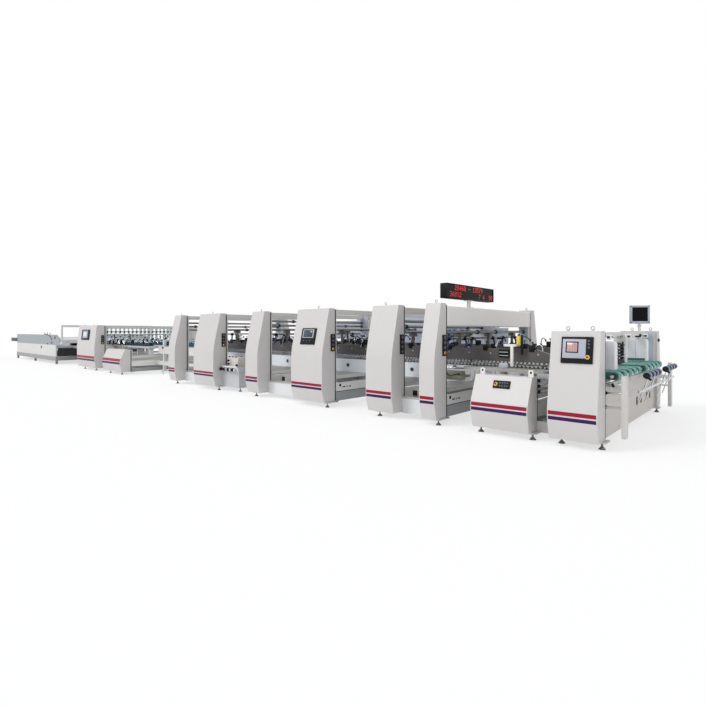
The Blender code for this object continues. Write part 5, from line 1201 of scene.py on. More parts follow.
def makeRack():
    plan = rackPlan
    x, z = at(plan["tubeStation"]), plan["tubeZ"]
    lean = math.radians(plan["lean"])

    def armPoint(y, reach):
        return Vector((x + reach * math.sin(lean), y, z + reach * math.cos(lean)))

    tube, rollers, blocks, plates = shapes(4)
    tube.rod((x, -plan["half"], z), (x, plan["half"], z), plan["tube"], 24, None, 0.003)
    panel = at(plan["panelStation"])
    for sign in (-1, 1):
        y = sign * (plan["half"] - plan["bracketInset"])
        outline = bent([(panel, z - 0.05, 0), (panel, z + 0.05, 0), (x, z + 0.022, 0.02),
                        (x, z - 0.022, 0.02)], 5)
        plates.slab(outline, y - 0.008, y + 0.008, "Y", 0.002, 1)
        plates.block((panel - 0.002, y - 0.045, z - 0.06), (panel + 0.008, y + 0.045, z + 0.06), 0.003)
    for group in plan["groups"]:
        for offset in plan["arms"]:
            y = group + offset
            tube.rod(armPoint(y, -plan["below"]), armPoint(y, plan["above"]), plan["arm"], 14, None, 0.002)
            tube.lump((x, y, z), (0.024, 0.018, 0.024), 0.006)
            middle = armPoint(y, plan["above"])
            blocks.block(middle - Vector((0.030, 0.020, 0.034)), middle + Vector((0.030, 0.020, 0.034)),
                         0.008)
        tube.rod(armPoint(group - plan["shaft"], plan["above"]),
                 armPoint(group + plan["shaft"], plan["above"]),
                 0.013, 14)
        for offset in plan["offsets"]:
            y, half = group + offset, plan["rollerWidth"] / 2
            rollers.rod(armPoint(y - half * 0.72, plan["above"]), armPoint(y + half * 0.72, plan["above"]),
                        plan["roller"], 28, None, 0.006)
            for sign in (-1, 1):
                blocks.rod(armPoint(y + sign * half * 0.70, plan["above"]),
                           armPoint(y + sign * half, plan["above"]),
                           plan["roller"] * 0.86, 22, None, 0.004)
        for sign in (-1, 1):
            end = armPoint(group + sign * (plan["shaft"] - 0.005), plan["above"])
            grip = 0.065 if sign < 0 else 0.02
            blocks.rod(end - Vector((0.02, 0, -0.014)), end + Vector((grip, 0, -grip * 0.75)), 0.015, 14,
                       None, 0.004)
    tube.piece("rackTubes", "chrome", "dark_steel", ["roller_rack"])
    rollers.piece("rackRollers", "blue", "roller_plastic")
    blocks.piece("rackBlocks", "black")
    plates.piece("rackBrackets", "beam", "frame_paint")


# Cross rods, steps and far guards

rodPlan = {"radius": 0.0265, "collar": 0.040, "drop": 0.42, "underGantry": 0.10, "rise": 0.10}


def makeRods():
    plan = rodPlan
    rods, collars = shapes(2)
    reach = backPlane - 0.04
    tops = []
    for first, second in bays:
        z = tallTop - plan["drop"]
        if first.startswith("prefold"):
            z = min(z, gantryLow - plan["underGantry"])
        for kind in (first, second):
            low, high = shellBox(kind)
            tops.append(((low.x + high.x) / 2, z))
        low, high = shellBox(second)
        tops += [((low.x + high.x) / 2, z + plan["rise"] * k) for k in (1, 2)]
    for x, z in tops:
        rods.rod((x, -reach, z), (x, reach, z), plan["radius"], 24)
        for sign in (-1, 1):
            for y in (reach - 0.06, luck.uniform(0.3, 1.4)):
                collars.rod((x, sign * y - 0.025, z), (x, sign * y + 0.025, z), plan["collar"], 18, None,
                            0.004)
    rods.piece("crossRods", "bar")
    collars.piece("rodCollars", "dark")


treadPlan = {"top": 0.37, "out": 0.05, "in": 0.34, "pitch": 0.042, "rise": 0.004, "sheet": 0.004, "lip": 0.03}


def makeTreads():
    plan = treadPlan
    sheets = Shape()
    for number, (first, second) in enumerate(bays):
        x1 = shellBox(first)[0].x - 0.004
        x0 = shellBox(second)[1].x + 0.004
        points = []
        for sign in (-1, 1):
            outer, inner = sign * (backPlane + plan["out"]), sign * (backPlane - plan["in"])
            y0, y1 = sorted((outer, inner))
            sheets.block((x0, y0 - 0.002, plan["top"]), (x1, y1 + 0.002, plan["top"] + plan["sheet"]),
                         0.0015, 1)
            edge = sorted((outer, outer + sign * 0.004))
            sheets.block((x0, edge[0], plan["top"] - plan["lip"]),
                         (x1, edge[1], plan["top"] + plan["sheet"]), 0.0012, 1)
            points.append(((x0 + x1) / 2, (y0 + y1) / 2, plan["top"] + plan["sheet"] + plan["rise"] * 0.2))
        values = {"Length": x1 - x0 - 0.06, "Width": plan["out"] + plan["in"] - 0.05, "Pitch": plan["pitch"],
                  "Rise": plan["rise"]}
        grown("treadLozenges%d" % (number + 1), trees["tread"], points, values, "tread")
    sheets.piece("treadSheets", "tread", "grey_paint")


guardPlan = {"inside": 0.05, "sheet": 0.004, "prefold": (0.60, 0.01), "lock": (0.53, 0.15),
             "prefoldSpans": ((2.89, 3.21), (3.80, 4.90)), "lockSpans": ((5.84, 6.99), (7.47, 8.84)),
             "units": (3.83, 4.18)}


def makeGuards():  # thin pale sheets on the far guards, each held by screws
    plan = guardPlan
    sheets, heads = Shape(), []
    y = backPlane - plan["inside"]
    for spans, top, tall in ((plan["prefoldSpans"], gantryLow - plan["prefold"][1], plan["prefold"][0]),
                             (plan["lockSpans"], tallTop - plan["lock"][1], plan["lock"][0])):
        for start, end in spans:
            x0, x1 = at(end), at(start)
            parts = max(1, round((x1 - x0) / 0.55))
            for i in range(parts):
                left = x0 + (x1 - x0) * i / parts + 0.004
                right = x0 + (x1 - x0) * (i + 1) / parts - 0.004
                sheets.block((left, y - plan["sheet"], top - tall + 0.01), (right, y + 0.0015, top - 0.004),
                             0.0015, 1)
                heads += [(u, y - plan["sheet"], v) for u in (left + 0.03, right - 0.03)
                          for v in (top - tall + 0.04, top - 0.04)]
    backs, marks = shapes(2)
    face = y - plan["sheet"]
    for start in plan["units"]:
        x0, x1 = at(start + 0.26), at(start)
        backs.block((x0, face - 0.030, 1.30), (x1, face + 0.001, 1.565), 0.006)
        for u0, v0, u1, v1 in ((0.03, 1.33, 0.10, 1.53), (0.10, 1.53, 0.16, 1.44), (0.16, 1.44, 0.22, 1.54),
                               (0.22, 1.54, 0.20, 1.36), (0.05, 1.42, 0.20, 1.36)):
            marks.rod((x0 + u0, face - 0.036, v0), (x0 + u1, face - 0.036, v1), 0.010, 12, None, 0.002)
        for u, v in ((0.05, 1.50), (0.13, 1.35), (0.20, 1.48)):
            marks.rod((x0 + u, face - 0.028, v), (x0 + u, face - 0.056, v), 0.024, 16, 0.020, 0.003)
    backs.piece("guardUnits", "unit", "grey_paint")
    marks.piece("guardUnitArms", "black")
    sheets.piece("guardSheets", "panel", "grey_paint")
    screws("guardScrews", heads, (0, -1, 0), 0.007, 0.004)


# Folding hooks on their cross rods

hookPlan = {
    "sets": {"prefold_hooks": (-1.34, -0.78, -0.50, 0.34, 0.80, 1.36),
             "lock_hooks": (-1.36, -0.62, 0.40, 1.36),
             "final_hooks": (-1.36, -0.60, 0.60, 1.36), "press_hooks": (-1.30, -0.72, 0.0, 0.72, 1.30)},
    "hook": ((0.0, 0.03), (0.0, -0.10), (-0.03, -0.19), (-0.11, -0.25), (-0.19, -0.22), (-0.23, -0.14)),
    "arm": ((0.0, 0.03), (0.05, -0.08), (0.04, -0.16), (-0.04, -0.20), (-0.06, -0.27), (0.02, -0.31)),
    "rod": (0.245, 0.037, 0.018), "strap": 0.034, "thick": 0.024,
}


def strapOutline(path, width):  # a bent strap's outline: its path is rounded, then laid out to both sides
    points = [Vector(p) for p in path]
    for _ in range(2):
        inner = []
        for one, two in zip(points, points[1:]):
            inner += [one * 0.75 + two * 0.25, one * 0.25 + two * 0.75]
        points = [points[0]] + inner[1:-1] + [points[-1]]
    left, right = [], []
    for i, here in enumerate(points):
        way = (points[min(i + 1, len(points) - 1)] - points[max(i - 1, 0)]).normalized()
        off = Vector((-way.y, way.x)) * width / 2
        left.append(here + off)
        right.append(here - off)
    return left + right[::-1]


def makeHooks():
    plan = hookPlan
    rods, clamps, straps = shapes(3)
    inset, drop, radius = plan["rod"]
    for node, lines in plan["sets"].items():
        low, high = corners(node)
        x, z = low.x + inset, high.z - drop
        rods.rod((x, low.y, z), (x, high.y, z), radius, 20)
        for i, y in enumerate(lines):
            path = [(x + u, z + v) for u, v in (plan["arm"] if i % 2 else plan["hook"])]
            straps.slab(strapOutline(path, plan["strap"]), y - plan["thick"] / 2, y + plan["thick"] / 2,
                        "Y", 0.002, 1)
            clamps.block((x - 0.034, y - 0.028, z - 0.036), (x + 0.034, y + 0.028, z + 0.024), 0.006)
            clamps.rod((x - 0.05, y, z - 0.008), (x + 0.05, y, z - 0.008), 0.010, 10)
    straps.piece("hookStraps", "strap", "dark_steel", list(plan["sets"]))
    rods.piece("hookRods", "bar")
    clamps.piece("hookClamps", "black")


# Small parts of the modules, from the feeder to the delivery

feederPartsPlan = {
    "slots": (0.28, 0.58, 1.04, 1.30), "slotHalf": 0.050, "slotHeights": (0.314, 0.446), "slotRound": 0.048,
    "slotDepth": (0.125, 0.0975), "slotKnob": (0.10, 0.085, 0.40),
    "rods": [(0.09, -0.12, -1.66, z, 0.012, 12) for z in (0.52, 0.70)],
    "rodKnobs": [(0.075, -1.69, -1.655, z, 0.024, 16, 0.020, 0.003) for z in (0.52, 0.70)],
    "rails": ((-1.64, 0.812), (-1.60, 0.785)),  # Y and Z of the two thin rods beside the near housing
    "railHead": 0.014,
    "blackStrips": ((0.362, 0.330, -1.484, -1.4795, 1.000, 1.27, 0.002, 1),  # near guide's edge
                    (0.245, 0.242, 0.9185, 0.9205, 1.04, 1.34, 0.0005, 1),  # far guide's joint
                    (0.455, 0.425, 0.914, 0.93, 1.10, 1.36, 0.003, 1)),  # far guide's rear edge
    "guideFoot": ((0.40, 0.105, 0.9175, 0.9205, 0.992, 1.032, 0.001, 1),),
    "whiteStrips": ((0.104, 0.079, 0.9165, 0.9205, 0.992, 1.33, 0.001, 1),  # far guide's front edge
                    (0.160, 0.128, -0.262, -0.232, 1.02, 1.445, 0.004)),  # beside the gate
    "gateRods": ((0.265, -0.24, 1.02, 1.445, 0.011, 14), (0.300, -0.20, 1.02, 1.445, 0.009, 14)),
    "gateBlocks": 5, "gateBlockPitch": 0.048, "gateBlockTall": 0.036, "gateLow": 1.07,
    "saddles": (-1.40, -0.24, 1.0), "saddleStations": (0.10, 0.20, 0.32),
    "farClamp": ((0.25, 0.17, 0.93, 1.00, 1.395, 1.45, 0.006),),
    "farKnob": ((0.064, 0.035, 1.84, 1.33, 0.030, 16, None, 0.004),),
    "screwLines": (-1.60, -0.90, -0.20, 0.50, 1.20, 1.62), "screwHeights": (0.16, 0.52, 0.76),
    "screwStation": 0.098,
}


def makeFeederParts():  # dark fills that paint the shade inside the slots, knobs, guides' edges, gate's rods and saddles
    plan = feederPartsPlan
    dark, white, steel, grey = shapes(4)
    half, (z0, z1), corner = plan["slotHalf"], plan["slotHeights"], plan["slotRound"]
    first, last, knobZ = plan["slotKnob"]
    for y in plan["slots"]:
        # painted shade: a dark fill inside each slot of the front panel, where the opening lies in shade
        hole = bent([(y - half, z0, corner), (y + half, z0, corner), (y + half, z1, corner),
                     (y - half, z1, corner)], 5)
        dark.slab(hole, *[at(station) for station in plan["slotDepth"]], "X", 0.002, 1)
        steel.along([(first, last, y, knobZ, 0.011, 12, None, 0.002)])
    steel.along(plan["rods"])
    dark.across(plan["rodKnobs"])
    for y, z in plan["rails"]:
        reach = plan["railHead"]
        steel.along([(0.10, -0.115, y, z, 0.008, 12)])
        dark.boxes([(0.02, -0.01, y - reach, y + reach, z - reach, z + reach, 0.004)])
    dark.boxes(plan["blackStrips"])
    grey.boxes(plan["guideFoot"])
    white.boxes(plan["whiteStrips"])
    steel.upright(plan["gateRods"])
    for i in range(plan["gateBlocks"]):
        z = plan["gateLow"] + i * plan["gateBlockPitch"]
        dark.boxes([(0.262, 0.176, -0.30 + 0.02 * (i % 2), -0.19, z, z + plan["gateBlockTall"], 0.006)])
        steel.across([(0.22, -0.315, -0.296, z + plan["gateBlockTall"] / 2, 0.011, 12, None, 0.002)])
    for y in plan["saddles"]:
        for x in plan["saddleStations"]:
            white.boxes([(x + 0.024, x - 0.024, -0.045, 0.045, 1.385, 1.452, 0.005)], y)
            dark.boxes([(x + 0.018, x - 0.018, -0.060, -0.044, 1.405, 1.432, 0.003)], y)
            dark.across([(x, -0.056, -0.085, 1.418, 0.012, 12, 0.010, 0.002)], y)
        steel.along([(0.05, 0.42, y, 1.43, 0.009, 12)])
    dark.boxes(plan["farClamp"])
    dark.along(plan["farKnob"])
    dark.piece("feederBlackParts", "black")
    white.piece("feederWhiteParts", "bright", "frame_paint")
    steel.piece("feederRods", "chrome")
    grey.piece("feederGuideFoot", "beltSide", "belt_rubber")
    heads = [(at(plan["screwStation"]), y, z) for y in plan["screwLines"] for z in plan["screwHeights"]]
    screws("frontPanelScrews", heads, (1, 0, 0), 0.009, 0.005)


alignerPartsPlan = {
    "face": -1.135,  # near face of the near upper carrier: "at carrier" rows count Y from it
    "bracket": ((1.63, 1.43, -0.15, 0.02, 1.255, 1.290, 0.006),  # at carrier
                (1.515, 1.470, -0.165, -0.130, 0.945, 1.260, 0.005)),
    "cylinder": ((1.42, -0.06, 1.285, 1.425, 0.036, 24, None, 0.006),),  # at carrier
    "cylinderCap": ((1.42, -0.06, 1.425, 1.450, 0.020, 16),),  # at carrier
    "heads": ((1.385, 1.355, -0.075, -0.045, 1.13, 1.44, 0.004),  # at carrier
              (1.235, 1.185, -0.01, 0.07, 1.20, 1.305, 0.006)),
    "handle": {"station": 1.14, "half": 0.055, "rise": 0.065, "middle": 1.225, "foot": 1.19, "steps": 12},
    "register": ((1.77, 1.60, -0.022, -0.001, 1.075, 1.205, 0.005),),  # at carrier
    "registerBars": [(1.76, 1.61, -0.026, -0.020, z, z + 0.010, 0.002, 1)
                     for z in (1.10, 1.155)],  # at carrier
    "wedge": ((1.76, 0.985), (1.80, 0.85), (1.62, 0.84), (1.62, 0.985)),  # stations and Z
    "spindles": (2.58, 1.975, 1.25), "spindleZ": 0.872,
    "crossBars": (0.64, 0.72, 0.80), "crossStation": 0.93, "crossReach": 1.74, "crossCap": 1.70,
    "trayRods": ((-1.44, 0.888), (-1.30, 0.868)), "trayLegs": (2.12, 1.76),
    "tray": ((2.60, 2.26, -1.50, -1.20, 0.725, 0.765, 0.006), (2.58, 2.30, -1.42, -1.28, 0.68, 0.83, 0.010)),
    "trayCover": ((2.60, 2.22, -1.36, -1.30, 0.832, 0.844, 0.003),),
    "wires": 7, "wirePitch": 0.035, "wireStart": 2.60, "wireSteps": 6,
    "tables": (-1.41, -0.54, 0.54, 1.41), "holeRows": (-0.09, -0.03, 0.03, 0.09), "holeCount": 9,
    "holePitch": 0.075, "holeStart": 0.95, "tableTop": 0.9252,
}


def makeAlignerParts():  # register bracket, signal cylinder, cable tray and rods at the near carrier
    plan = alignerPartsPlan
    dark, white, steel, yellow, tray, plates = shapes(6)
    near = plan["face"]
    white.boxes(plan["bracket"], near)
    yellow.upright(plan["cylinder"], near)
    dark.upright(plan["cylinderCap"], near)
    dark.boxes(plan["heads"], near)
    bow = plan["handle"]
    arc = [(at(bow["station"] + bow["half"] * math.cos(a)), near + 0.02,
            bow["middle"] + bow["rise"] * math.sin(a))
           for a in (math.pi * k / bow["steps"] for k in range(bow["steps"] + 1))]
    steel.pipe([(*arc[0][:2], bow["foot"])] + arc[1:] + [(*arc[-1][:2], bow["foot"])], 0.010, 10)
    dark.boxes(plan["register"], near)
    plates.boxes(plan["registerBars"], near)
    outline = bent([(at(station), z, 0.01) for station, z in plan["wedge"]], 3)
    plates.slab(outline, near - 0.020, near - 0.010, "Y", 0.002, 1)
    for station in plan["spindles"]:
        steel.across([(station, -0.34, -0.005, plan["spindleZ"], 0.013, 16)], near)
        dark.ring((at(station), near - 0.016, plan["spindleZ"]), (0, 1, 0), 0.026, 0.009)
    for z in plan["crossBars"]:
        station, cap = plan["crossStation"], plan["crossCap"]
        steel.across([(station, -plan["crossReach"], plan["crossReach"], z, 0.013, 16)])
        for sign in (-1, 1):
            dark.boxes([(station + 0.025, station - 0.025, -0.03, 0.03, z - 0.022, z + 0.022, 0.004)],
                       sign * cap)
    for y, z in plan["trayRods"]:
        steel.along([(2.62, 1.72, y, z, 0.012, 14)])
        steel.upright([(station, y, z, 0.74, 0.009, 12) for station in plan["trayLegs"]])
    tray.boxes(plan["tray"])
    white.boxes(plan["trayCover"])
    wires = Shape()
    for i in range(plan["wires"]):
        y, end = -1.50 + i * plan["wirePitch"], luck.uniform(2.30, 2.38)
        path = []
        for k in range(plan["wireSteps"] + 1):
            x = at(plan["wireStart"] - k * (plan["wireStart"] - end) / plan["wireSteps"])
            path.append((x, y + 0.03 * math.sin(k * 1.3 + i), 0.772 + 0.018 * math.sin(k * 1.1 + i)))
        wires.pipe(path, 0.007, 8)
    # painted shade: flat dark discs that stand for the shade inside the tables' holes
    holes = [(at(plan["holeStart"] + i * plan["holePitch"]), middle + j, plan["tableTop"])
             for middle in plan["tables"] for i in range(plan["holeCount"]) for j in plan["holeRows"]]
    screws("tableHoleShades", holes, (0, 0, 1), 0.011, 0.0012, "rubber")
    dark.piece("alignerBlackParts", "black")
    white.piece("alignerBracket", "bright", "frame_paint")
    steel.piece("alignerRods", "chrome")
    yellow.piece("signalCylinder", "yellow", "panel_plastic")
    tray.piece("cableTray", "olive", "grey_paint")
    plates.piece("registerPlates", "finger", "grey_paint")
    wires.piece("trayCables", "cable", "belt_rubber")


deckPlan = {
    "beams": ((2.42, 2.58), (4.95, 5.11), (8.89, 9.05)), "low": 0.28, "top": 0.46, "reach": 1.70,
    "marks": ((-1.50, -1.42), (-1.38, -1.345), (-1.31, -1.25), (1.30, 1.40)), "markHeights": (0.352, 0.374),
    "caps": (-1.60, 1.56), "capSize": 0.05, "capHeights": (0.38, 0.43), "stepCaps": (0.33, 0.67),
}


def makeDeckParts():  # painted shade on the low cross beams (a dark strip in the gap between the beams, dark marks in the slots), a dark grey sheet on the beams' tops, end caps of the beams and steps
    plan = deckPlan
    topSheets, shadeMarks, caps = shapes(3)
    reach = plan["reach"]
    for start, end in plan["beams"]:
        x1, x0 = at(start), at(end)
        # a darker grey sheet on each low beam's top
        topSheets.block((x0 + 0.01, -reach + 0.12, plan["top"]),
                    (x1 - 0.012, reach - 0.12, plan["top"] + 0.0035), 0.001, 1)
        # painted shadow: a dark strip along the gap between the white beam and the base beam
        shadeMarks.block((x1 - 0.002, -reach, plan["low"] - 0.004), (x1 + 0.002, reach, plan["low"] + 0.008),
                     0.0008, 1)
        z0, z1 = plan["markHeights"]
        # painted shade: dark marks where the beam has slots
        for y0, y1 in plan["marks"]:
            shadeMarks.block((x1 - 0.002, y0, z0), (x1 + 0.002, y1, z1), 0.0008, 1)
        for y in plan["caps"]:
            foot, top = plan["capHeights"]
            caps.block((x1 - 0.002, y, foot), (x1 + 0.008, y + plan["capSize"], top), 0.004)
    for first, second in bays:
        x1, x0 = shellBox(first)[0].x, shellBox(second)[1].x
        for share in plan["stepCaps"]:
            x = x0 + (x1 - x0) * share
            caps.block((x - 0.045, -1.70, 0.385), (x + 0.045, -1.676, 0.475), 0.006)
    topSheets.piece("lowBeamTopSheets", "pit", "grey_paint")
    shadeMarks.piece("lowBeamShadeMarks", "rubber")
    caps.piece("beamCaps", "black")


linesPlan = {
    "middles": (-1.08, 0.0, 1.08), "stations": (1.9, 10.9), "pitch": (0.22, 0.42), "sparser": 3.0,
    "kinds": ("cable", "cable", "cable", "hose", "bright"), "radii": (0.006, 0.008, 0.010),
    "rise": (0.10, 0.20), "reach": (0.06, 0.22), "steps": 8, "foot": passLine + 0.27,
    "armShare": 0.5, "armLean": (-0.10, 0.10), "armRise": (0.10, 0.16),
}


def makeLines():  # air lines, cables, clamps and upright arms over the carriers
    plan = linesPlan
    kinds = {"cable": Shape(), "hose": Shape(), "bright": Shape()}
    clamps, arms = shapes(2)
    first, last = plan["stations"]
    for y in plan["middles"]:
        station = first
        while station < last:
            side = luck.choice((-1, 1))
            kind = luck.choice(plan["kinds"])
            rise = luck.uniform(*plan["rise"])
            reach = luck.uniform(*plan["reach"])
            base = Vector((at(station), y + side * 0.06, plan["foot"]))
            path = []
            for k in range(plan["steps"] + 1):
                t = k / plan["steps"]
                arch = rise * math.sin(t * math.pi * 0.8)
                path.append(base + Vector((reach * t, side * 0.05 * math.sin(t * 3), arch)))
            kinds[kind].pipe(path, luck.choice(plan["radii"]), 8)
            clamps.block(path[0] - Vector((0.022, 0.018, 0.03)), path[0] + Vector((0.022, 0.018, 0.016)),
                         0.005)
            clamps.rod(path[-1] - Vector((0, 0, 0.02)), path[-1] + Vector((0, 0, 0.025)), 0.014, 12, None,
                       0.003)
            if luck.random() < plan["armShare"]:
                lean = luck.uniform(*plan["armLean"])
                top = base + Vector((lean, side * 0.02, luck.uniform(*plan["armRise"])))
                arms.rod(base - Vector((0, 0, 0.06)), top, 0.010, 12)
                clamps.block(top - Vector((0.03, 0.016, 0.016)), top + Vector((0.03, 0.016, 0.02)), 0.005)
            station += luck.uniform(*plan["pitch"]) * sparse(station, y, plan["sparser"])
    for kind, shape in kinds.items():
        shape.piece("carrierLines" + kind.capitalize(), kind, "belt_rubber")
    clamps.piece("carrierClamps", "black")
    arms.piece("carrierArms", "chrome")


def wheelRows(name, lines, station, z, half, count, radius):  # two rows of wheels on each line
    starts = [(at(station), y + side * half, z) for y in lines for side in (-1, 1)]
    values = {"Count": count, "Pitch": 0.107, "Radius": radius, "Width": 0.040, "Hub": 0.018,
              "Hub Width": 0.058}
    grown(name, trees["roller"], starts, values, "wheel")


transferPlan = {
    "lines": (-0.62, 0.0, 0.62),
    "wheels": (11.72, 1.030, 0.075, 26, 0.047),  # station, Z, half gap, number, radius
    "rail": (14.50, 11.64, -0.045, 0.045, 1.118, 1.140, 0.004),
    "forks": 13, "forkStart": 11.80, "forkPitch": 0.214,
    "caps": (11.83, 13.07, 14.31), "capReach": (0.862, 0.874),
}


def makeTransferParts():  # dense wheels that hold the boxes down on the transfer belts
    plan = transferPlan
    wheelRows("transferWheels", plan["lines"], *plan["wheels"])
    rails, forks, caps = shapes(3)
    for y in plan["lines"]:
        rails.boxes([plan["rail"]], y)
        for i in range(plan["forks"]):
            x = at(plan["forkStart"] + i * plan["forkPitch"])
            forks.block((x - 0.016, y - 0.052, 1.03), (x + 0.016, y + 0.052, 1.150), 0.005)
    rails.piece("transferRails", "aqua", "grey_paint")
    forks.piece("transferForks", "black")
    for sign in (-1, 1):
        y0, y1 = [sign * y for y in plan["capReach"]]
        caps.boxes([(station + 0.05, station - 0.05, y0, y1, 0.88, 0.95, 0.004) for station in plan["caps"]])
    caps.piece("transferCaps", "dark")


pressPlan = {
    "lines": (-1.0, 0.0, 1.0), "wheels": (14.98, passLine + 0.055, 0.07, 20, 0.050),
    "rail": (17.10, 14.92, -0.04, 0.04, 1.092, 1.112, 0.004),
    "armStations": (16.3, 16.7, 17.05, 17.5, 17.95, 18.4),
    "armLines": (-1.45, -1.0, -0.5, 0.0, 0.5, 1.0, 1.45),
    "armLean": (0.14, 0.24), "armRise": (0.10, 0.20), "armFoot": 0.985,
    "topRods": (-1.2, 0.0, 1.2), "topRod": (14.95, 17.25), "topRodZ": 1.16, "topForks": (15.1, 16.0, 17.1),
    "hangers": 21, "hangerStart": -1.60, "hangerPitch": 0.16, "hangerStation": 17.42, "hangerTop": 1.61,
    "clampZ": 1.47, "hangerReach": (0.14, 0.28), "hangerHalves": (0.022, 0.030, 0.046), "wheelZ": 1.09,
}


def makePressParts():  # wheels and rails above the belts, swing arms, and the hangers on the cross rod
    plan = pressPlan
    arms, ends, wheels, strips, hangers = shapes(5)
    wheelRows("pressTopWheels", plan["lines"], *plan["wheels"])
    for y in plan["lines"]:
        strips.boxes([plan["rail"]], y)
    strips.piece("pressTopRails", "aqua", "grey_paint")
    for station in plan["armStations"]:
        for y in plan["armLines"]:
            lean = luck.uniform(*plan["armLean"])
            x, y = at(station) + luck.uniform(-0.05, 0.05), y + luck.uniform(-0.10, 0.10)
            base = Vector((x, y, plan["armFoot"]))
            tip = base + Vector((-lean, 0, luck.uniform(*plan["armRise"])))
            arms.rod(base, tip, 0.012, 10)
            ends.block(base - Vector((0.035, 0.022, 0.01)), base + Vector((0.035, 0.022, 0.035)), 0.006)
            wheels.rod(tip - Vector((0, 0.024, 0)), tip + Vector((0, 0.024, 0)), 0.042, 18, None, 0.006)
    for y in plan["topRods"]:
        arms.along([(*plan["topRod"], y, plan["topRodZ"], 0.014, 12)])
        ends.boxes([(station + 0.03, station - 0.03, -0.03, 0.03, 1.04, 1.18, 0.006)
                    for station in plan["topForks"]], y)
    x, z, low = at(plan["hangerStation"]), plan["clampZ"], plan["wheelZ"]
    for i in range(plan["hangers"]):
        y = plan["hangerStart"] + i * plan["hangerPitch"]
        reach = luck.uniform(*plan["hangerReach"])
        wide = luck.choice(plan["hangerHalves"])
        foot = luck.uniform(1.10, 1.20)
        hangers.block((x - 0.018, y - wide, foot), (x + 0.018, y + wide, plan["hangerTop"]), 0.004)
        path = [(x, 1.22), (x + 0.02, 1.14), (x + reach * 0.6, 1.08), (x + reach, low)]
        hangers.slab(strapOutline(path, 0.034), y - 0.012, y + 0.012, "Y", 0.002, 1)
        ends.block((x - 0.036, y - 0.026, z - 0.036), (x + 0.036, y + 0.026, z + 0.030), 0.006)
        high = luck.uniform(1.22, 1.36)
        ends.rod((x + 0.01, y, high), (x + 0.075, y, high), 0.024, 16, 0.018, 0.003)
        wheels.rod((x + reach, y - 0.026, low), (x + reach, y + 0.026, low), 0.040, 18, None, 0.006)
    hangers.piece("pressHangers", "finger")
    arms.piece("pressArms", "chrome")
    ends.piece("pressForks", "black")
    wheels.piece("pressWheels", "rubber", "roller_plastic")


# Places on the shelf count from its low corner in X and Y
shelfPlan = {
    "handwheels": [(0.10 + i * 0.17, -0.016, 0.04, 0.55, 0.040, 20, 0.044, 0.004) for i in range(4)],
    "knobs": [(x, 0.085, 0.125, z, 0.026, 16, None, 0.003) for x,
              z in ((0.30, 0.68), (0.30, 0.76), (0.66, 0.66))],
    "buttons": [0.20 + i * 0.15 for i in range(3)],
}


def makeShelfParts():  # knobs and fittings of the shelf with the fine adjusters
    plan = shelfPlan
    low = corners("adjuster_shelf")[0]
    knobs, white = shapes(2)
    for x, y0, y1, z, *rest in plan["handwheels"] + plan["knobs"]:
        knobs.rod((low.x + x, low.y + y0, z), (low.x + x, low.y + y1, z), *rest)
    for x in plan["buttons"]:
        knobs.rod((low.x + x, low.y + 0.20, 0.836), (low.x + x, low.y + 0.20, 0.862), 0.022, 14, None, 0.003)
    white.block((low.x + 0.06, low.y + 0.07, 0.59), (low.x + 0.70, low.y + 0.10, 0.63), 0.006)
    white.rod((low.x + 0.12, low.y + 0.30, 0.60), (low.x + 0.12, low.y + 0.30, 0.80), 0.035, 18, None, 0.004)
    knobs.piece("shelfKnobs", "black")
    white.piece("shelfFittings", "bright", "grey_paint")


deliveryPlan = {
    "loops": (23.45, 23.90, 24.35), "loopZ": 1.385, "loopRadius": 0.055, "loopFoot": (1.32, 1.345),
    "slot": {"station": 24.10, "middle": 1.10, "long": 1.0, "tall": 0.24, "step": 0.15, "points": 12},
    "knobs": ((22.55, 1.20, 0.055), (23.03, 0.96, 0.045), (23.70, 0.90, 0.035)),
    "sideKnob": (24.77, 2.004, 0.72), "rollerCap": (0.09, 1.90, 2.03, 1.04, 0.092),
    "endSheet": ((22.50, 22.47, -1.92, 1.92, 0.34, 0.72, 0.003, 1),),
    "screws": 14, "screwStart": 21.2, "screwPitch": 0.6, "screwZ": 0.92,
}


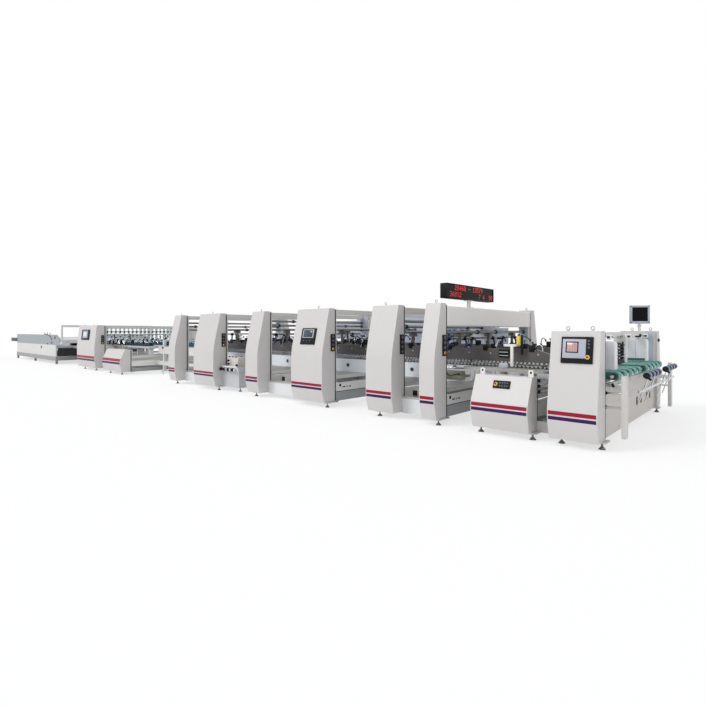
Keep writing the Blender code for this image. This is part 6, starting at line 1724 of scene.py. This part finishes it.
def makeDeliveryParts():  # loop handles, guide slot, knobs, the end roller's caps, and a thin dark box under the bed's end that makes that place dark
    plan = deliveryPlan
    high = corners("delivery_upper")[1]
    rollerX = corners("delivery_roller")[0].x
    loops, dark, white, apron = shapes(4)
    for sign in (-1, 1):
        y = sign * (high.y - 0.03)
        for station in plan["loops"]:
            loops.ring((at(station), y, plan["loopZ"]), (0, 1, 0), plan["loopRadius"], 0.012)
            loops.upright([(station, y, *plan["loopFoot"], 0.020, 14, None, 0.003)])
        face = sign * (high.y + 0.004)
        bow = plan["slot"]
        slot = [(at(bow["station"] - bow["long"] * math.sin(a)), face,
                 bow["middle"] + bow["tall"] * math.cos(a))
                for a in (bow["step"] * k for k in range(bow["points"]))]
        dark.pipe(slot, 0.014, 8)
        for station, z, radius in plan["knobs"]:
            dark.across([(station, -sign * 0.01, sign * 0.012, z, radius, 18, None, 0.004)], face)
        station, side, z = plan["sideKnob"]
        dark.across([(station, -sign * 0.006, sign * 0.012, z, 0.060, 20, None, 0.004)], sign * side)
        inset, inner, outer, z, radius = plan["rollerCap"]
        x = rollerX + inset
        white.rod((x, sign * inner, z), (x, sign * outer, z), radius, 28, None, 0.008)
    # a thin dark box across the line under the delivery's bed, which makes that place dark
    apron.boxes(plan["endSheet"])
    apron.piece("deliveryDarkFill", "dark")
    loops.piece("deliveryLoops", "zinc", "grey_paint")
    dark.piece("deliveryKnobs", "black")
    white.piece("deliveryRollerCaps", "bright")
    heads = [(at(plan["screwStart"] + i * plan["screwPitch"]), -high.y - 0.0005, plan["screwZ"])
             for i in range(plan["screws"])]
    screws("deliveryScrews", heads, (0, -1, 0), 0.016, 0.006)


# Finishes for the CAD nodes that stay

portalStation = 21.66

nodeFinishes = {
    "gantry_beam": "beam", "side_guide_far": "guide", "side_guide_near": "guide", "transfer_belts": "aqua",
    "transfer_frame": "apron", "transfer_press": "wheel",
}


def placedFinishes():  # finishes whose colours depend on a node's own place
    white, grey = tint(212, 210, 207), tint(160, 163, 165)
    made = {}
    lower = (grey, ("B", 0, backPlane - 0.002), ("Z", 0.084, 0.282))
    # step boxes: painted light, a lighter white than the frame's paint that lifts the shade on their faces
    steps = (tint(226, 227, 229), ("B", backPlane + 0.03, 1.86), ("Z", 0.084, 0.372))
    beams = (tint(232, 231, 228), ("B", 0, backPlane - 0.002), ("Z", 0.282, 0.462))
    for name in ("prefold_frame", "lock_frame", "final_frame", "press_frame"):
        made[name] = zonedFinish(name + "Paint", white, [lower, beams, steps])
    tables = (tint(176, 173, 168), ("Z", 0.878, 0.93))
    made["aligner_frame"] = zonedFinish("alignerFramePaint", white, [lower, beams, tables])
    # lower carriers: near-white, painted lighter than their paint as painted light against the shade under
    # the upper carriers; the band near their top is dark
    comb = (tint(66, 66, 70), ("Z", 0.912, 1.0))
    for n in (1, 2, 3):
        made["lower_carrier_%d" % n] = zonedFinish("lowerCarrierLightenedPaint%d" % n, tint(240, 243, 247), [comb], 0)
    made["adjuster_shelf"] = zonedFinish("shelfPaint", tint(196, 198, 201),
                                         [(tint(216, 208, 200), ("Z", 0.601, 0.9))])
    gate = (tint(64, 66, 70), ("Z", 0.98, 1.32))
    made["feed_gate"] = zonedFinish("gatePaint", white, [gate], 0)
    panel = (tint(206, 200, 194), ("X", at(0.132), at(0.098)), ("B", 0, 1.678), ("Z", 0.09, 0.81))
    made["feeder_frame"] = zonedFinish("feederFramePaint", white, [panel])
    top = (tint(46, 46, 50), ("Z", passLine - 0.012, passLine + 0.1))
    under = (tint(46, 46, 50), ("Z", passLine - 0.105, passLine - 0.088))
    made["press_belts"] = zonedFinish("pressBeltPaint", tint(206, 207, 208), [top, under])
    portal = (white, ("Z", 0.93, 2.0), ("X", at(portalStation + 0.12), at(portalStation - 0.12)))
    bed = (tint(196, 197, 208), ("B", 0, 1.925))
    made["delivery_upper"] = zonedFinish("deliveryCoverPaint", tint(150, 156, 162), [bed, portal])
    band = (tint(150, 150, 150), ("Z", 0, 0.345))
    made["delivery_frame"] = zonedFinish("deliveryFramePaint", tint(214, 213, 210), [band], 0.13)
    made["delivery_roller"] = zonedFinish("deliveryRollerPaint", tint(222, 222, 222),
                                          [(tint(24, 24, 26), ("B", 1.925, 3))])
    return made


def dressNodes():
    placed = placedFinishes()
    for name, made in nodes.items():
        finish = nodeFinishes.get(name)
        if name.startswith("upper_carrier"):
            finish = "carrier"
        skin = finishes[finish] if finish else placed.get(name)
        if skin:
            made.data.materials.clear()
            made.data.materials.append(skin)


# Floor: white to the camera, and paper that takes the shadows

def makeFloor():
    finish = Finish("floorPaper")
    seen = Wire(finish, directRays(finish.tree))
    paper = finish.node("ShaderNodeBsdfDiffuse", None, {"Color": (0.93, 0.93, 0.93, 1)})
    light = finish.node("ShaderNodeEmission", None, {"Color": (1, 1, 1, 1), "Strength": 1.05})
    mixed = finish.node("ShaderNodeMixShader", None, {0: seen * 0.62, 1: paper, 2: light})
    makeNode(finish.tree, "ShaderNodeOutputMaterial", None, {"Surface": mixed})
    mesh = bpy.data.meshes.new("floor")
    reach = 90
    mesh.from_pydata([(-reach, -reach, 0), (reach, -reach, 0), (reach, reach, 0), (-reach, reach, 0)], [],
                     [(0, 1, 2, 3)])
    mesh.materials.append(finish.material)
    floor = bpy.data.objects.new("floor", mesh)
    bpy.context.scene.collection.objects.link(floor)


for stage in (setCamera, setLamps, makeFloor, dressNodes, makeShells, makeInnerCovers, makeTouchPanels,
              makeControlStrips, makeAlignerShellParts, makeBoard, makeMonitor, makeCarriers,
              makeFeedBelts, makeRack, makeRods, makeTreads, makeGuards, makeHooks, makeFeederParts,
              makeAlignerParts, makeDeckParts, makeLines, makeTransferParts, makePressParts,
              makeShelfParts, makeDeliveryParts):
    stage()
    print("scene:", stage.__name__)
